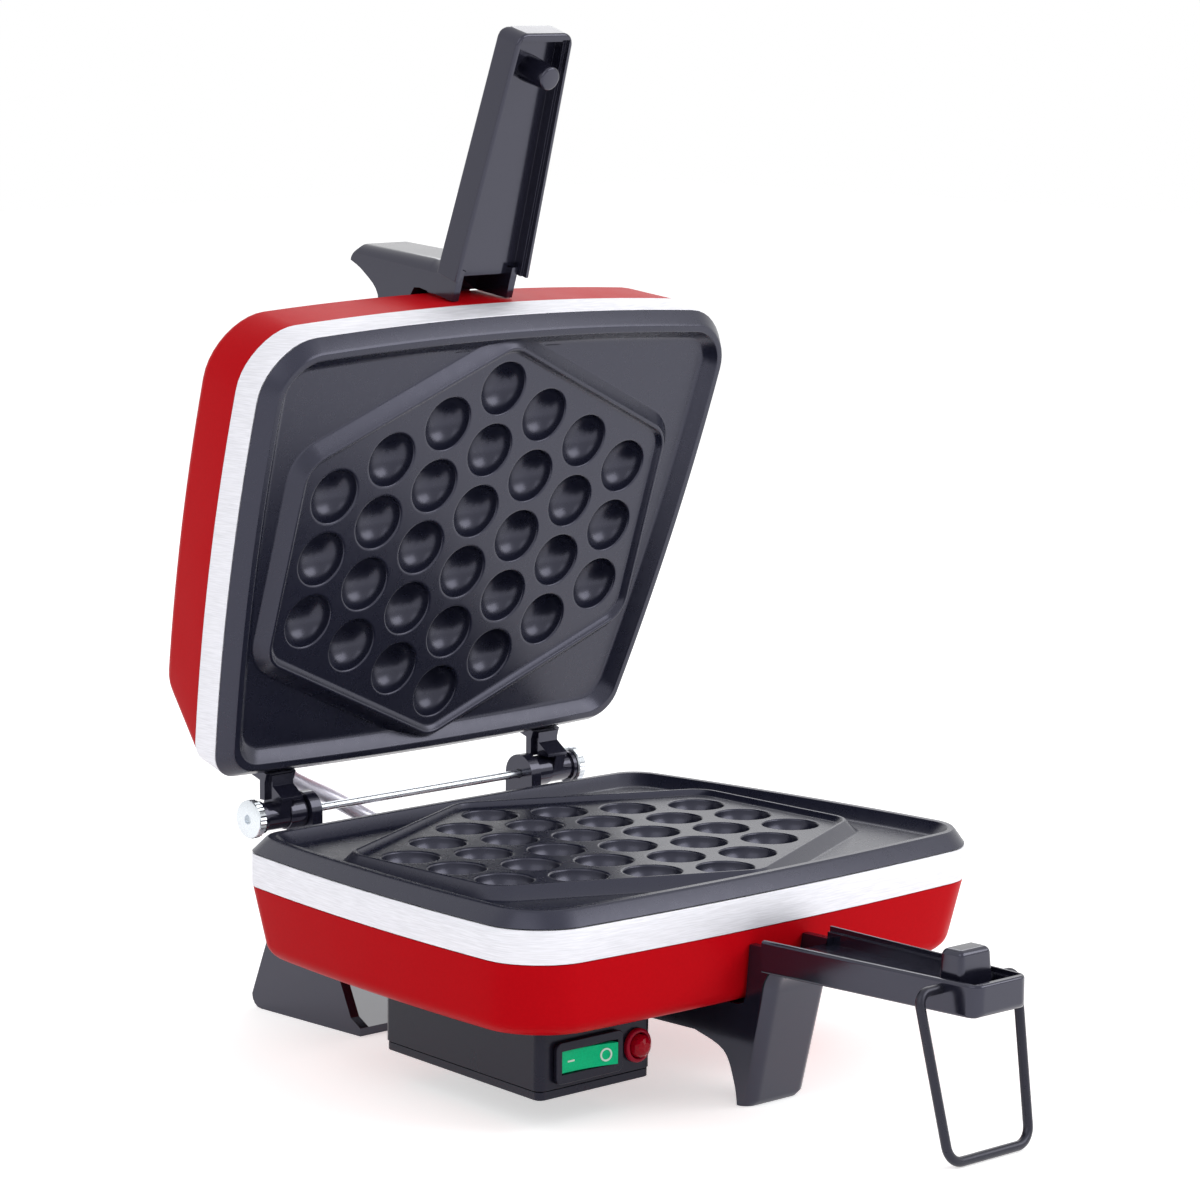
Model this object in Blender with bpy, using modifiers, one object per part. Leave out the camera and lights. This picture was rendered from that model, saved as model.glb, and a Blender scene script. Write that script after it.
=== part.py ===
# Mini bubble waffle maker: two like halves on a rear rod, handles, a wire bail and a switch box.
# Metres, +Z up. X runs along the hinge rod, the handles point to -Y.
import math

import bmesh
import bpy
from mathutils import Matrix, Vector

for old in list(bpy.data.objects):
    bpy.data.objects.remove(old)

# Fits shared by all pieces
GAP = 0.0003
OVERRUN = 0.004

# The two halves and the rod they turn on; height zero is the flat round the cups of the lower half
PARTING_Z = 0.0024
HINGE_Y = 0.1003
HINGE_Z = 0.0030
LID_OPEN_DEGREES = 72.5
GROUND_Z = -0.0780

# Plan of a half, measured on the rim crest
FRONT_HALF = 0.1076
REAR_HALF = 0.0922
FRONT_Y = -0.0780
REAR_Y = 0.0795
FRONT_CORNER_R = 0.0150
REAR_CORNER_R = 0.0100
SIDE_BOW = 0.0036
FRONT_BOW = 0.0044
REAR_BOW = 0.0018
CORNER_STEPS = 4
SIDE_STEPS = 4

# Hot plate
CREST_Z = 0.0023
CREST_WIDTH = 0.0016
CREST_ROUND = 0.0008
TRAY_Z = -0.0023
TRAY_SLOPE = 0.0046
FLARE = 0.0046
SKIRT_Z = -0.0033
PLATE_WALL = 0.0032
PLATE_STEP_IN = 0.0004
CUP_R = 0.0101
CUP_DEPTH = 0.0080
CUP_PITCH_X = 0.0234
CUP_PITCH_Y = 0.0240
CUPS_PER_COLUMN = (3, 4, 5, 6, 5, 4, 3)
CUP_STEPS = 12
CUP_RINGS = 3
HEX_HALF = 0.0862
HEX_CORNER_Y = 0.0365
HEX_VERTEX_Y = 0.0762
HEX_CORNER_R = 0.0100
RIDGE_TOP_Z = 0.0021
RIDGE_WIDTH = 0.0018
RIDGE_OUTER_SLOPE = 0.0040
RIDGE_INNER_SLOPE = 0.0012
BOSS_DEPTH = 0.0108
BOSS_INSET = 0.0020

# Band
BAND_BOTTOM_Z = -0.0152
BAND_WALL = 0.0010
BAND_LIP = 0.0040

# Pan
PAN_INSET = 0.0002
PAN_WALL = 0.0015
PAN_DEPTH_Z = -0.0420
PAN_DRAFT_DEGREES = 10.0
PAN_BEND_R = 0.0075
LID_REAR_LEAN_DEGREES = 35.0
PAN_BEND_STEPS = 3

# Heat parts
HEATER_R = 0.0032
HEATER_SPAN_X = 0.0660
HEATER_SPAN_Y = 0.0560
HEATER_TERMINAL_X = 0.0140
HEATER_TERMINAL_DROP = 0.0050
HEATER_SIDES = 8
SHIELD_Z = -0.0250
SHIELD_LIP = 0.0050
SHIELD_SHEET = 0.0010
STAT_X = 0.0300
STAT_BASE_R = 0.0095
STAT_BASE_H = 0.0020
STAT_BODY_R = 0.0070
STAT_BODY_H = 0.0060
FUSE_R = 0.0025
FUSE_LENGTH = 0.0220
FUSE_X = -0.0300

# Handle moulding
HANDLE_ROOT_Y = -0.0948
HANDLE_TIP_Y = -0.1870
HANDLE_ROOT_HALF = 0.0178
HANDLE_TIP_HALF = 0.0132
HANDLE_RIM_Z = -0.0173
HANDLE_HEIGHT = 0.0112
HANDLE_TIP_R = 0.0045
HANDLE_TIP_UNDER_R = 0.0025
HANDLE_WALL = 0.0030
HANDLE_END_WALL = 0.0036
CHANNEL_DEPTH = 0.0058
HANDLE_EDGE_R = 0.0010
HANDLE_LIP = 0.0018
HANDLE_LIP_DEPTH = 0.0018
LEG_EDGE_R = 0.0045
LEDGE_DROP = 0.0032
LEG_HALF = 0.0145
LEG_SOLE_HALF = 0.0135
LEG_FRONT_TOP_Y = -0.0963
LEG_FRONT_TOP_Z = -0.0370
LEG_FRONT_FOOT_Y = -0.0872
LEG_TOE = 0.0025
LEG_REAR_FOOT_Y = -0.0802
LEG_ARCH_R = 0.0080
ARM_END_Y = -0.0390
ARM_UNDER_Z = -0.0550
ARM_SWEEP_Y = -0.0738
ARM_SWEEP_Z = -0.0597
ARM_SWEEP_FLAT_Y = -0.0600
LEG_CALF_Y = -0.0788
LEG_CALF_Z = -0.0700
LEG_BACK_Y = -0.0846
LEG_BACK_Z = -0.0385
LEG_BACK_R = 0.0040
BLOCK_HALF = 0.0083
BLOCK_FRONT_Y = -0.1760
BLOCK_DEPTH = 0.0110
BLOCK_TOP_Z = -0.0087
BLOCK_TAPER = 0.0008
BLOCK_EDGE_R = 0.0020
PIN_Y = -0.1725
PIN_BASE_R = 0.0050
PIN_TOP_R = 0.0043
PIN_H = 0.0125

# Wire bail
WIRE_R = 0.0017
WIRE_SIDES = 10
BAIL_PIVOT_Y = -0.1716
BAIL_PIVOT_Z = -0.0206
BAIL_LENGTH = 0.0566
BAIL_TOP_HALF = 0.0243
BAIL_FOOT_HALF = 0.0198
BAIL_HOOK_DEPTH = 0.0012
BAIL_TOP_BEND_R = 0.0042
BAIL_FOOT_BEND_R = 0.0065
BAIL_GROUND_GAP = 0.0002

# Rear bracket, with the hinge ears and the rear foot
BRACKET_INNER_X = 0.0435
BRACKET_WALL = 0.0040
EAR_INNER_X = 0.0517
EAR_WIDTH = 0.0048
EAR_R = 0.0073
BRACKET_SOLE = 0.0030
BRACKET_FRONT_Y = 0.0770
BRACKET_REAR_Y = 0.1385
BRACKET_HEEL_R = 0.0050
BRACKET_SHIN_Y = 0.0823
BRACKET_KNEE_Y = 0.0880
BRACKET_KNEE_Z = -0.0600
SHELF_TOP_Z = -0.0070
SHELF_THICK = 0.0090
BRACKET_WAIST_Z = -0.0520
FLANGE_TOP_Z = -0.0252
FLANGE_BOTTOM_Z = -0.0358
FLANGE_THICK = 0.0045

# Hinge
ROD_R = 0.0015
ROD_CLEAR = 0.0003
BUSH_R = 0.0058
BUSH_END_X = 0.0648
LUG_R = 0.0052
LUG_END_X = 0.0768
LUG_FLANGE = 0.0016
LUG_FLANGE_R = 0.0061
CAP_R = 0.0070
CAP_THICK = 0.0036
CAP_SOCKET_R = 0.0019
CAP_SOCKET_DEPTH = 0.0012
CAP_BORE_DEPTH = 0.0014
CAP_DOME = 0.0008
ARM_INNER_X = 0.0585
ARM_OUTER_X = 0.0723
ARM_BACK = 0.0037
ARM_FACE = 0.0010
ARM_PAD_INNER_X = 0.0606
ARM_PAD_OUTER_X = 0.0703
ARM_PAD_FACE = -0.0014
ARM_PAD_LOW = 0.0110
ARM_TOE = -0.0068
ARM_TOE_TOP = 0.0072
ARM_FLANGE_TOP_Z = -0.0025
ARM_FLANGE_END_Z = -0.0340
ARM_FLANGE_THICK = 0.0035

# Switch box
BOX_NEAR_X = -0.0930
BOX_FAR_X = -0.0405
BOX_FRONT_Y = -0.0660
BOX_REAR_Y = 0.0220
BOX_REAR_X = -0.0840
BOX_DEPTH = 0.0200
BOX_WALL = 0.0020
BOX_EDGE_R = 0.0030
BOX_EDGE_STEPS = 3
COVER_DEPTH = 0.0030
COVER_INSET = 0.0004
PANEL_CENTRE_DROP = 0.0115
BEZEL_OFFSET = 0.0062
BEZEL_LENGTH = 0.0307
BEZEL_HEIGHT = 0.0143
BEZEL_PROUD = 0.0018
BEZEL_CORNER_R = 0.0022
ROCKER_HOLE_LENGTH = 0.0256
ROCKER_HOLE_HEIGHT = 0.0080
BEZEL_TUBE_WALL = 0.0010
BEZEL_TUBE_DEPTH = 0.0090
SWITCH_BODY_DEPTH = 0.0125
ROCKER_HALF = 0.0119
ROCKER_HALF_HEIGHT = 0.0037
ROCKER_PIVOT_DEPTH = 0.0040
ROCKER_CROWN = 0.0062
ROCKER_DIP = 0.0011
ROCKER_BACK = 0.0034
ROCKER_BACK_HALF = 0.0094
ROCKER_TILT_DEGREES = 7.0
LAMP_OFFSET = 0.0448
LAMP_R = 0.0059
LAMP_PROUD = 0.0016
LAMP_HOLE_R = 0.0050
LAMP_TUBE_DEPTH = 0.0060
LENS_R = 0.0041
LENS_DOME = 0.0036
BLOCK_LENGTH = 0.0300
TERMINAL_DEPTH = 0.0140
TERMINAL_HEIGHT = 0.0110
TERMINAL_X = -0.0660
TERMINAL_Y = -0.0100
TERMINAL_HOLE_R = 0.0020

# Screws
SCREW_HEAD_R = 0.0034
SCREW_HEAD_H = 0.0020
SCREW_R = 0.0018
SCREW_TIP = 0.0030
HANDLE_SCREW_Y = -0.0490
BRACKET_SCREW_X = 0.0250
COVER_SCREW_INSET = 0.0100

# Heater wire conduit
CONDUIT_R = 0.0030
CONDUIT_SIDES = 8
FITTING_R = 0.0040
FITTING_LENGTH = 0.0080
FITTING_LID_X = -0.0450
FITTING_LID_Z = -0.0205
FITTING_BASE_X = -0.0030
FITTING_BASE_Z = -0.0194
CONDUIT_ROUTE = (
    (-0.0448, 0.1205, 0.0120),
    (-0.0400, 0.1185, 0.0082),
    (-0.0320, 0.1130, 0.0034),
    (-0.0230, 0.1080, -0.0026),
    (-0.0140, 0.1030, -0.0090),
    (-0.0070, 0.0985, -0.0145),
)

ROUND_STEPS = 16
HEEL_STEPS = 4

SHIFT = Vector((0, -(HANDLE_TIP_Y + BRACKET_REAR_Y) / 2, -GROUND_Z))

parts = bpy.data.collections.new("bubble_waffle_maker")
bpy.context.scene.collection.children.link(parts)
cutters = bpy.data.collections.new("cutters")
bpy.context.scene.collection.children.link(cutters)
cutters.hide_render = True


def axis_empty(name, place, turn=(0, 0, 0)):
    empty = bpy.data.objects.new(name, None)
    empty.location = Vector(place) + SHIFT
    empty.rotation_euler = turn
    parts.objects.link(empty)
    return empty


lid_axis = axis_empty(
    "lid_hinge_axis", (0, HINGE_Y, HINGE_Z), (-math.radians(LID_OPEN_DEGREES), 0, 0)
)


def material(name, colour, roughness, metallic):
    made = bpy.data.materials.new(name)
    made.use_nodes = True
    shader = made.node_tree.nodes["Principled BSDF"]
    shader.inputs["Base Color"].default_value = (*colour, 1)
    shader.inputs["Roughness"].default_value = roughness
    shader.inputs["Metallic"].default_value = metallic
    made.diffuse_color = (*colour, 1)
    return made


RED = material("red_paint", (0.52, 0.005, 0.008), 0.3, 0)
STEEL = material("brushed_steel", (0.80, 0.80, 0.82), 0.35, 1)
COATING = material("non_stick_coating", (0.045, 0.043, 0.058), 0.35, 0)
PLASTIC = material("black_plastic", (0.030, 0.028, 0.034), 0.3, 0)
WIRE = material("black_wire", (0.020, 0.020, 0.024), 0.35, 0)
ZINC = material("bright_zinc", (0.75, 0.77, 0.80), 0.2, 1)
GREEN = material("green_rocker", (0.01, 0.35, 0.10), 0.25, 0)
LAMP = material("red_lamp", (0.50, 0.005, 0.02), 0.15, 0)
INNER = material("aluminised_sheet", (0.60, 0.60, 0.60), 0.4, 1)
ELEMENT = material("element_sheath", (0.20, 0.19, 0.18), 0.5, 1)
CERAMIC = material("white_ceramic", (0.75, 0.72, 0.66), 0.6, 0)


def to_lid(point):
    """A point of the lower half, mirrored in the parting plane and taken from the hinge axis."""
    return Vector((point[0], point[1] - HINGE_Y, 2 * PARTING_Z - point[2] - HINGE_Z))


def solid(name, points, faces, look=None, half="base", parent=None, smooth=False):
    """A closed mesh as an object. Without a look it is a cutter."""
    mesh = bpy.data.meshes.new(name)
    places = [to_lid(p) if half == "lid" else Vector(p) for p in points]
    mesh.from_pydata(places, [], faces)
    net = bmesh.new()
    net.from_mesh(mesh)
    bmesh.ops.recalc_face_normals(net, faces=net.faces[:])
    net.to_mesh(mesh)
    net.free()
    obj = bpy.data.objects.new(name, mesh)
    if half == "lid":
        obj.parent = lid_axis
    elif parent:
        obj.parent = parent
    else:
        obj.location = SHIFT
    if look:
        mesh.materials.append(look)
        parts.objects.link(obj)
    else:
        obj.hide_render = True
        obj.display_type = "WIRE"
        cutters.objects.link(obj)
    if smooth:
        mesh.polygons.foreach_set("use_smooth", [True] * len(mesh.polygons))
    return obj


def combine(obj, other, operation="DIFFERENCE"):
    step = obj.modifiers.new(other.name, "BOOLEAN")
    step.operation = operation
    step.solver = "EXACT"
    step.object = other
    return obj


def soften(obj, width, segments=2, angle=40):
    step = obj.modifiers.new("soft_edges", "BEVEL")
    step.width = width
    step.segments = segments
    step.limit_method = "ANGLE"
    step.angle_limit = math.radians(angle)
    return obj


def loft(rings, ring_round=False):
    """Points and faces of a skin over rings of one count, capped, or closed back on itself."""
    count = len(rings[0])
    points = [p for ring in rings for p in ring]
    faces = []
    last = len(rings) if ring_round else len(rings) - 1
    for level in range(last):
        low = level * count
        high = (level + 1) % len(rings) * count
        for i in range(count):
            j = (i + 1) % count
            faces.append((low + i, low + j, high + j, high + i))
    if not ring_round:
        faces.append(tuple(range(count)))
        faces.append(tuple(range(len(points) - count, len(points))))
    return points, faces


def rounded(corners, steps=CORNER_STEPS):
    """A closed outline of (x, y, radius) corners, each turned into an arc."""
    outline = []
    for i, (x, y, radius) in enumerate(corners):
        here = Vector((x, y))
        before = (Vector(corners[i - 1][:2]) - here).normalized()
        after = (Vector(corners[(i + 1) % len(corners)][:2]) - here).normalized()
        if radius == 0:
            outline.append(here)
            continue
        half = before.angle(after) / 2
        centre = here + (before + after).normalized() * radius / math.sin(half)
        start = here + before * radius / math.tan(half) - centre
        end = here + after * radius / math.tan(half) - centre
        a = math.atan2(start.y, start.x)
        turn = (math.atan2(end.y, end.x) - a + math.pi) % (2 * math.pi) - math.pi
        for k in range(steps + 1):
            t = a + turn * k / steps
            outline.append(centre + Vector((math.cos(t), math.sin(t))) * radius)
    return outline


def body_ring(grow, z, rear_in=0.0, front_r=None):
    """The plan of a half, let out by grow, at height z. The rear side can lie further in."""
    corners = []
    for x_sign, y_sign in ((-1, -1), (1, -1), (1, 1), (-1, 1)):
        y = FRONT_Y - grow if y_sign < 0 else REAR_Y + grow - rear_in
        share = (y - FRONT_Y) / (REAR_Y - FRONT_Y)
        x = FRONT_HALF + (REAR_HALF - FRONT_HALF) * share + grow
        radius = (front_r or FRONT_CORNER_R + grow) if y_sign < 0 else REAR_CORNER_R
        corners.append((x_sign * x, y, radius))
    arcs = rounded(corners)
    ring = []
    per = CORNER_STEPS + 1
    for c in range(4):
        arc = arcs[c * per : (c + 1) * per]
        ring += arc
        end, start = arc[-1], arcs[(c + 1) * per % len(arcs)]
        ring += [end.lerp(start, k / SIDE_STEPS) for k in range(1, SIDE_STEPS)]
    middle = (FRONT_Y + REAR_Y) / 2
    reach = (REAR_Y - FRONT_Y) / 2
    bowed = []
    for p in ring:
        share = max(-1, min(1, (p.y - middle) / reach))
        side = max(-1, min(1, p.x / (FRONT_HALF + (REAR_HALF - FRONT_HALF) * (share + 1) / 2)))
        bow = FRONT_BOW if share < 0 else REAR_BOW
        x = p.x + SIDE_BOW * side * (1 - share**2)
        y = p.y + bow * share * (1 - side**2)
        bowed.append((x, y, z))
    return bowed


pan_draft = math.radians(PAN_DRAFT_DEGREES)
bend_z = PAN_DEPTH_Z + PAN_BEND_R
bend_inset = PAN_INSET + (BAND_BOTTOM_Z - bend_z) * math.tan(pan_draft) + PAN_BEND_R / math.cos(pan_draft)


rear_lean = {"base": 0.0, "lid": math.tan(math.radians(LID_REAR_LEAN_DEGREES)) - math.tan(pan_draft)}


def rear_in(z, half):
    """How much further in than its draft the pan's rear wall is at height z: the lid's leans in."""
    return (BAND_BOTTOM_Z - z) * rear_lean[half]


def pan_ring(grow, z, half, inward=0.0):
    """A ring of the pan. Its front corners keep their radius all the way down."""
    return body_ring(grow, z, rear_in(z, half), FRONT_CORNER_R + FLARE - inward)


def pan_grow(z):
    """How far the pan's straight wall stands out from the crest line at height z."""
    return FLARE - PAN_INSET - (BAND_BOTTOM_Z - z) * math.tan(pan_draft)


def bend_rings(radius, half):
    """Rings of the pan's rounded lower edge, from the floor up to the wall."""
    rings = []
    for k in range(PAN_BEND_STEPS + 1):
        t = math.pi / 2 + (pan_draft - math.pi / 2) * k / PAN_BEND_STEPS
        grow = FLARE - bend_inset + radius * math.cos(t)
        rings.append(pan_ring(grow, bend_z - radius * math.sin(t), half, PAN_BEND_R - radius))
    return rings


def wall_front_y(z):
    return FRONT_Y - FRONT_BOW - pan_grow(z)


def wall_rear_y(z, x=0.0, half="base"):
    return REAR_Y + REAR_BOW * (1 - (x / REAR_HALF) ** 2) + pan_grow(z) - rear_in(z, half)


def prism(outline, low, high, axis="Z"):
    """Points and faces of an outline drawn out along an axis."""
    spots = []
    for level in (low, high):
        for a, b in outline:
            spots.append({"Z": (a, b, level), "Y": (a, level, b), "X": (level, a, b)}[axis])
    count = len(outline)
    return loft([spots[:count], spots[count:]])


def round_chains(points, faces, chains, width, segments=3):
    """The same block with the edges along some chains of its points rounded."""
    net = bmesh.new()
    verts = [net.verts.new(p) for p in points]
    for face in faces:
        net.faces.new([verts[i] for i in face])
    edges = [net.edges.get((verts[a], verts[b])) for chain in chains for a, b in zip(chain, chain[1:])]
    bmesh.ops.bevel(net, geom=edges, offset=width, segments=segments, profile=0.5, affect="EDGES", material=-1)
    net.verts.index_update()
    made = [tuple(v.co) for v in net.verts], [tuple(v.index for v in face.verts) for face in net.faces]
    net.free()
    return made


def box(x0, x1, y0, y1, z0, z1):
    return prism([(x0, y0), (x1, y0), (x1, y1), (x0, y1)], z0, z1)


def turned(profile, centre, axis, steps=ROUND_STEPS, through=False):
    """Points and faces of a profile of (along, radius) turned about an axis through centre."""
    points, faces, rows = [], [], []
    for along, radius in profile:
        row = []
        spins = 1 if radius == 0 else steps
        for k in range(spins):
            t = 2 * math.pi * (k + 0.5) / steps
            a, b = radius * math.cos(t), radius * math.sin(t)
            spot = {"X": (along, a, b), "Y": (b, along, a), "Z": (a, b, along)}[axis]
            row.append(len(points))
            points.append(tuple(Vector(centre) + Vector(spot)))
        rows.append(row)
    pairs = list(zip(rows, rows[1:]))
    if through:
        pairs.append((rows[-1], rows[0]))
    for first, second in pairs:
        for k in range(steps):
            n = (k + 1) % steps
            if len(first) == 1:
                faces.append((first[0], second[n], second[k]))
            elif len(second) == 1:
                faces.append((first[k], first[n], second[0]))
            else:
                faces.append((first[k], first[n], second[n], second[k]))
    if not through:
        for row in (rows[0], rows[-1]):
            if len(row) > 1:
                faces.append(tuple(row))
    return points, faces


def swept(route, radius, sides):
    """Points and faces of a round bar along a route."""
    route = [Vector(p) for p in route]
    rings = []
    heading = (route[1] - route[0]).normalized()
    side = heading.orthogonal().normalized()
    for i, place in enumerate(route):
        if 0 < i < len(route) - 1:
            came = (place - route[i - 1]).normalized()
            goes = (route[i + 1] - place).normalized()
            ahead = (came + goes).normalized()
        elif i == 0:
            ahead = (route[1] - route[0]).normalized()
        else:
            ahead = (route[-1] - route[-2]).normalized()
        side = (side - ahead * side.dot(ahead)).normalized()
        other = ahead.cross(side)
        rings.append(
            [
                tuple(
                    place
                    + (side * math.cos(2 * math.pi * k / sides) + other * math.sin(2 * math.pi * k / sides))
                    * radius
                )
                for k in range(sides)
            ]
        )
    return loft(rings)


def bent(corners, steps=4):
    """A route through (point, bend radius) corners with its turns rounded."""
    route = [Vector(corners[0][0])]
    for before, (place, radius), after in zip(corners, corners[1:], corners[2:]):
        here = Vector(place)
        back = (Vector(before[0]) - here).normalized()
        on = (Vector(after[0]) - here).normalized()
        half = back.angle(on) / 2
        centre = here + (back + on).normalized() * radius / math.sin(half)
        start = here + back * radius / math.tan(half) - centre
        end = here + on * radius / math.tan(half) - centre
        for k in range(steps + 1):
            spoke = start.normalized().slerp(end.normalized(), k / steps)
            route.append(centre + spoke * radius)
    route.append(Vector(corners[-1][0]))
    return route


def smooth_route(points, steps=3):
    """A route through all points, rounded between them."""
    spots = [Vector(p) for p in points]
    route = []
    for i in range(len(spots) - 1):
        a = spots[max(i - 1, 0)]
        b = spots[i]
        c = spots[i + 1]
        d = spots[min(i + 2, len(spots) - 1)]
        for k in range(steps):
            t = k / steps
            bend = (a * 2 - b * 5 + c * 4 - d) * t**2 + (b * 3 - a - c * 3 + d) * t**3
            route.append((b * 2 + (c - a) * t + bend) / 2)
    route.append(spots[-1])
    return route


def hull(spots):
    """Points and faces of the smallest convex block round some points."""
    net = bmesh.new()
    for spot in spots:
        net.verts.new(spot)
    bmesh.ops.convex_hull(net, input=net.verts[:])
    net.verts.index_update()
    points = [tuple(v.co) for v in net.verts]
    faces = [tuple(v.index for v in face.verts) for face in net.faces]
    net.free()
    return points, faces


def hexagon(grow):
    """The outline of the hexagon, let out by grow."""
    lean = math.hypot(HEX_HALF, HEX_VERTEX_Y - HEX_CORNER_Y) / HEX_HALF
    slope = (HEX_VERTEX_Y - HEX_CORNER_Y) / HEX_HALF
    half = HEX_HALF + grow
    vertex = HEX_VERTEX_Y + grow * lean
    corner = vertex - half * slope
    radius = HEX_CORNER_R + grow
    return rounded(
        [
            (0, -vertex, radius),
            (half, -corner, radius),
            (half, corner, radius),
            (0, vertex, radius),
            (-half, corner, radius),
            (-half, -corner, radius),
        ]
    )


def level(outline, z):
    return [(p[0], p[1], z) for p in outline]


def hot_plate(half):
    name = half + "_hotplate"
    under = TRAY_Z - PLATE_WALL
    rings = [
        body_ring(-PLATE_STEP_IN, under),
        body_ring(-PLATE_STEP_IN, SKIRT_Z),
        body_ring(FLARE, SKIRT_Z),
        body_ring(CREST_WIDTH / 2, CREST_Z - CREST_ROUND / 2),
        body_ring(0, CREST_Z),
        body_ring(-CREST_WIDTH, CREST_Z),
        body_ring(-CREST_WIDTH - CREST_ROUND, CREST_Z - CREST_ROUND),
        body_ring(-CREST_WIDTH - TRAY_SLOPE, TRAY_Z),
    ]
    plate = solid(name, *loft(rings), COATING, half)
    ridge = [
        level(hexagon(-BOSS_INSET), -BOSS_DEPTH),
        level(hexagon(-BOSS_INSET), TRAY_Z - CREST_ROUND),
        level(hexagon(RIDGE_WIDTH + RIDGE_OUTER_SLOPE), TRAY_Z - CREST_ROUND),
        level(hexagon(RIDGE_WIDTH + RIDGE_OUTER_SLOPE), TRAY_Z),
        level(hexagon(RIDGE_WIDTH), RIDGE_TOP_Z),
        level(hexagon(0), RIDGE_TOP_Z),
        level(hexagon(-RIDGE_INNER_SLOPE), 0),
    ]
    combine(plate, solid(name + "_ridge", *loft(ridge), None, half), "UNION")
    points, faces = [], []
    middle = (len(CUPS_PER_COLUMN) - 1) / 2
    for c, count in enumerate(CUPS_PER_COLUMN):
        for r in range(count):
            place = ((c - middle) * CUP_PITCH_X, (r - (count - 1) / 2) * CUP_PITCH_Y, 0)
            profile = [(-CUP_DEPTH, 0)]
            for k in range(1, CUP_RINGS + 1):
                t = math.pi / 2 * k / CUP_RINGS
                profile.append((-CUP_DEPTH * math.cos(t), CUP_R * math.sin(t)))
            profile.append((OVERRUN, CUP_R))
            more, skin = turned(profile, place, "Z", CUP_STEPS)
            faces += [tuple(i + len(points) for i in face) for face in skin]
            points += more
    return combine(plate, solid(name + "_cups", points, faces, None, half))


def band(half):
    inner = FLARE - BAND_LIP
    top = SKIRT_Z - GAP
    rings = [
        body_ring(FLARE, top),
        body_ring(FLARE, BAND_BOTTOM_Z),
        body_ring(inner, BAND_BOTTOM_Z),
        body_ring(inner, BAND_BOTTOM_Z + BAND_WALL),
        body_ring(FLARE - BAND_WALL, BAND_BOTTOM_Z + BAND_WALL),
        body_ring(FLARE - BAND_WALL, top - BAND_WALL),
        body_ring(inner, top - BAND_WALL),
        body_ring(inner, top),
    ]
    return solid(half + "_band", *loft(rings, True), STEEL, half)


def pan(half):
    top = BAND_BOTTOM_Z - GAP
    rings = bend_rings(PAN_BEND_R, half)
    rings += [pan_ring(pan_grow(top), top, half), pan_ring(pan_grow(top) - PAN_WALL, top, half, PAN_WALL)]
    rings += reversed(bend_rings(PAN_BEND_R - PAN_WALL, half))
    return solid(half + "_housing", *loft(rings), RED, half)


def heater(half):
    z = -BOSS_DEPTH - GAP - HEATER_R
    x, y = HEATER_SPAN_X, HEATER_SPAN_Y
    bend = HEATER_R * 4
    drop = z - HEATER_TERMINAL_DROP
    route = bent(
        [
            ((-HEATER_TERMINAL_X, y, drop), 0),
            ((-HEATER_TERMINAL_X, y, z), HEATER_R * 1.3),
            ((-x, y / 2, z), bend),
            ((-x, -y / 2, z), bend),
            ((0, -y, z), bend),
            ((x, -y / 2, z), bend),
            ((x, y / 2, z), bend),
            ((HEATER_TERMINAL_X, y, z), HEATER_R * 1.3),
            ((HEATER_TERMINAL_X, y, drop), 0),
        ]
    )
    return solid(half + "_heater", *swept(route, HEATER_R, HEATER_SIDES), ELEMENT, half, smooth=True)


def shield(half):
    top = SHIELD_Z + SHIELD_LIP
    low = pan_grow(SHIELD_Z) - PAN_WALL - GAP
    high = pan_grow(top) - PAN_WALL - GAP
    within = PAN_WALL + GAP
    rings = [
        pan_ring(low, SHIELD_Z, half, within),
        pan_ring(high, top, half, within),
        pan_ring(high - SHIELD_SHEET, top, half, within + SHIELD_SHEET),
        pan_ring(low - SHIELD_SHEET, SHIELD_Z + SHIELD_SHEET, half, within + SHIELD_SHEET),
    ]
    return solid(half + "_shield", *loft(rings), INNER, half)


def thermostat(half):
    top = -BOSS_DEPTH - GAP
    profile = [
        (top, 0),
        (top, STAT_BASE_R),
        (top - STAT_BASE_H, STAT_BASE_R),
        (top - STAT_BASE_H, STAT_BODY_R),
        (top - STAT_BASE_H - STAT_BODY_H, STAT_BODY_R),
        (top - STAT_BASE_H - STAT_BODY_H, 0),
    ]
    return solid(half + "_thermostat", *turned(profile, (STAT_X, 0, 0), "Z"), CERAMIC, half)


def screw_at(name, place, axis, way, length, look, half="base"):
    """A round headed screw: head out on the side that way points to, shank the other way."""
    profile = [
        (way * SCREW_HEAD_H, 0),
        (way * SCREW_HEAD_H, SCREW_HEAD_R / 2),
        (way * SCREW_HEAD_H / 2, SCREW_HEAD_R),
        (0, SCREW_HEAD_R),
        (0, SCREW_R),
        (-way * length, SCREW_R),
        (-way * length, 0),
    ]
    return solid(name, *turned(profile, place, axis, 14), look, half)


def hole(name, place, axis, radius, low, high, half="base"):
    profile = [(low, 0), (low, radius), (high, radius), (high, 0)]
    return solid(name, *turned(profile, place, axis, 14), None, half)


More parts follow.
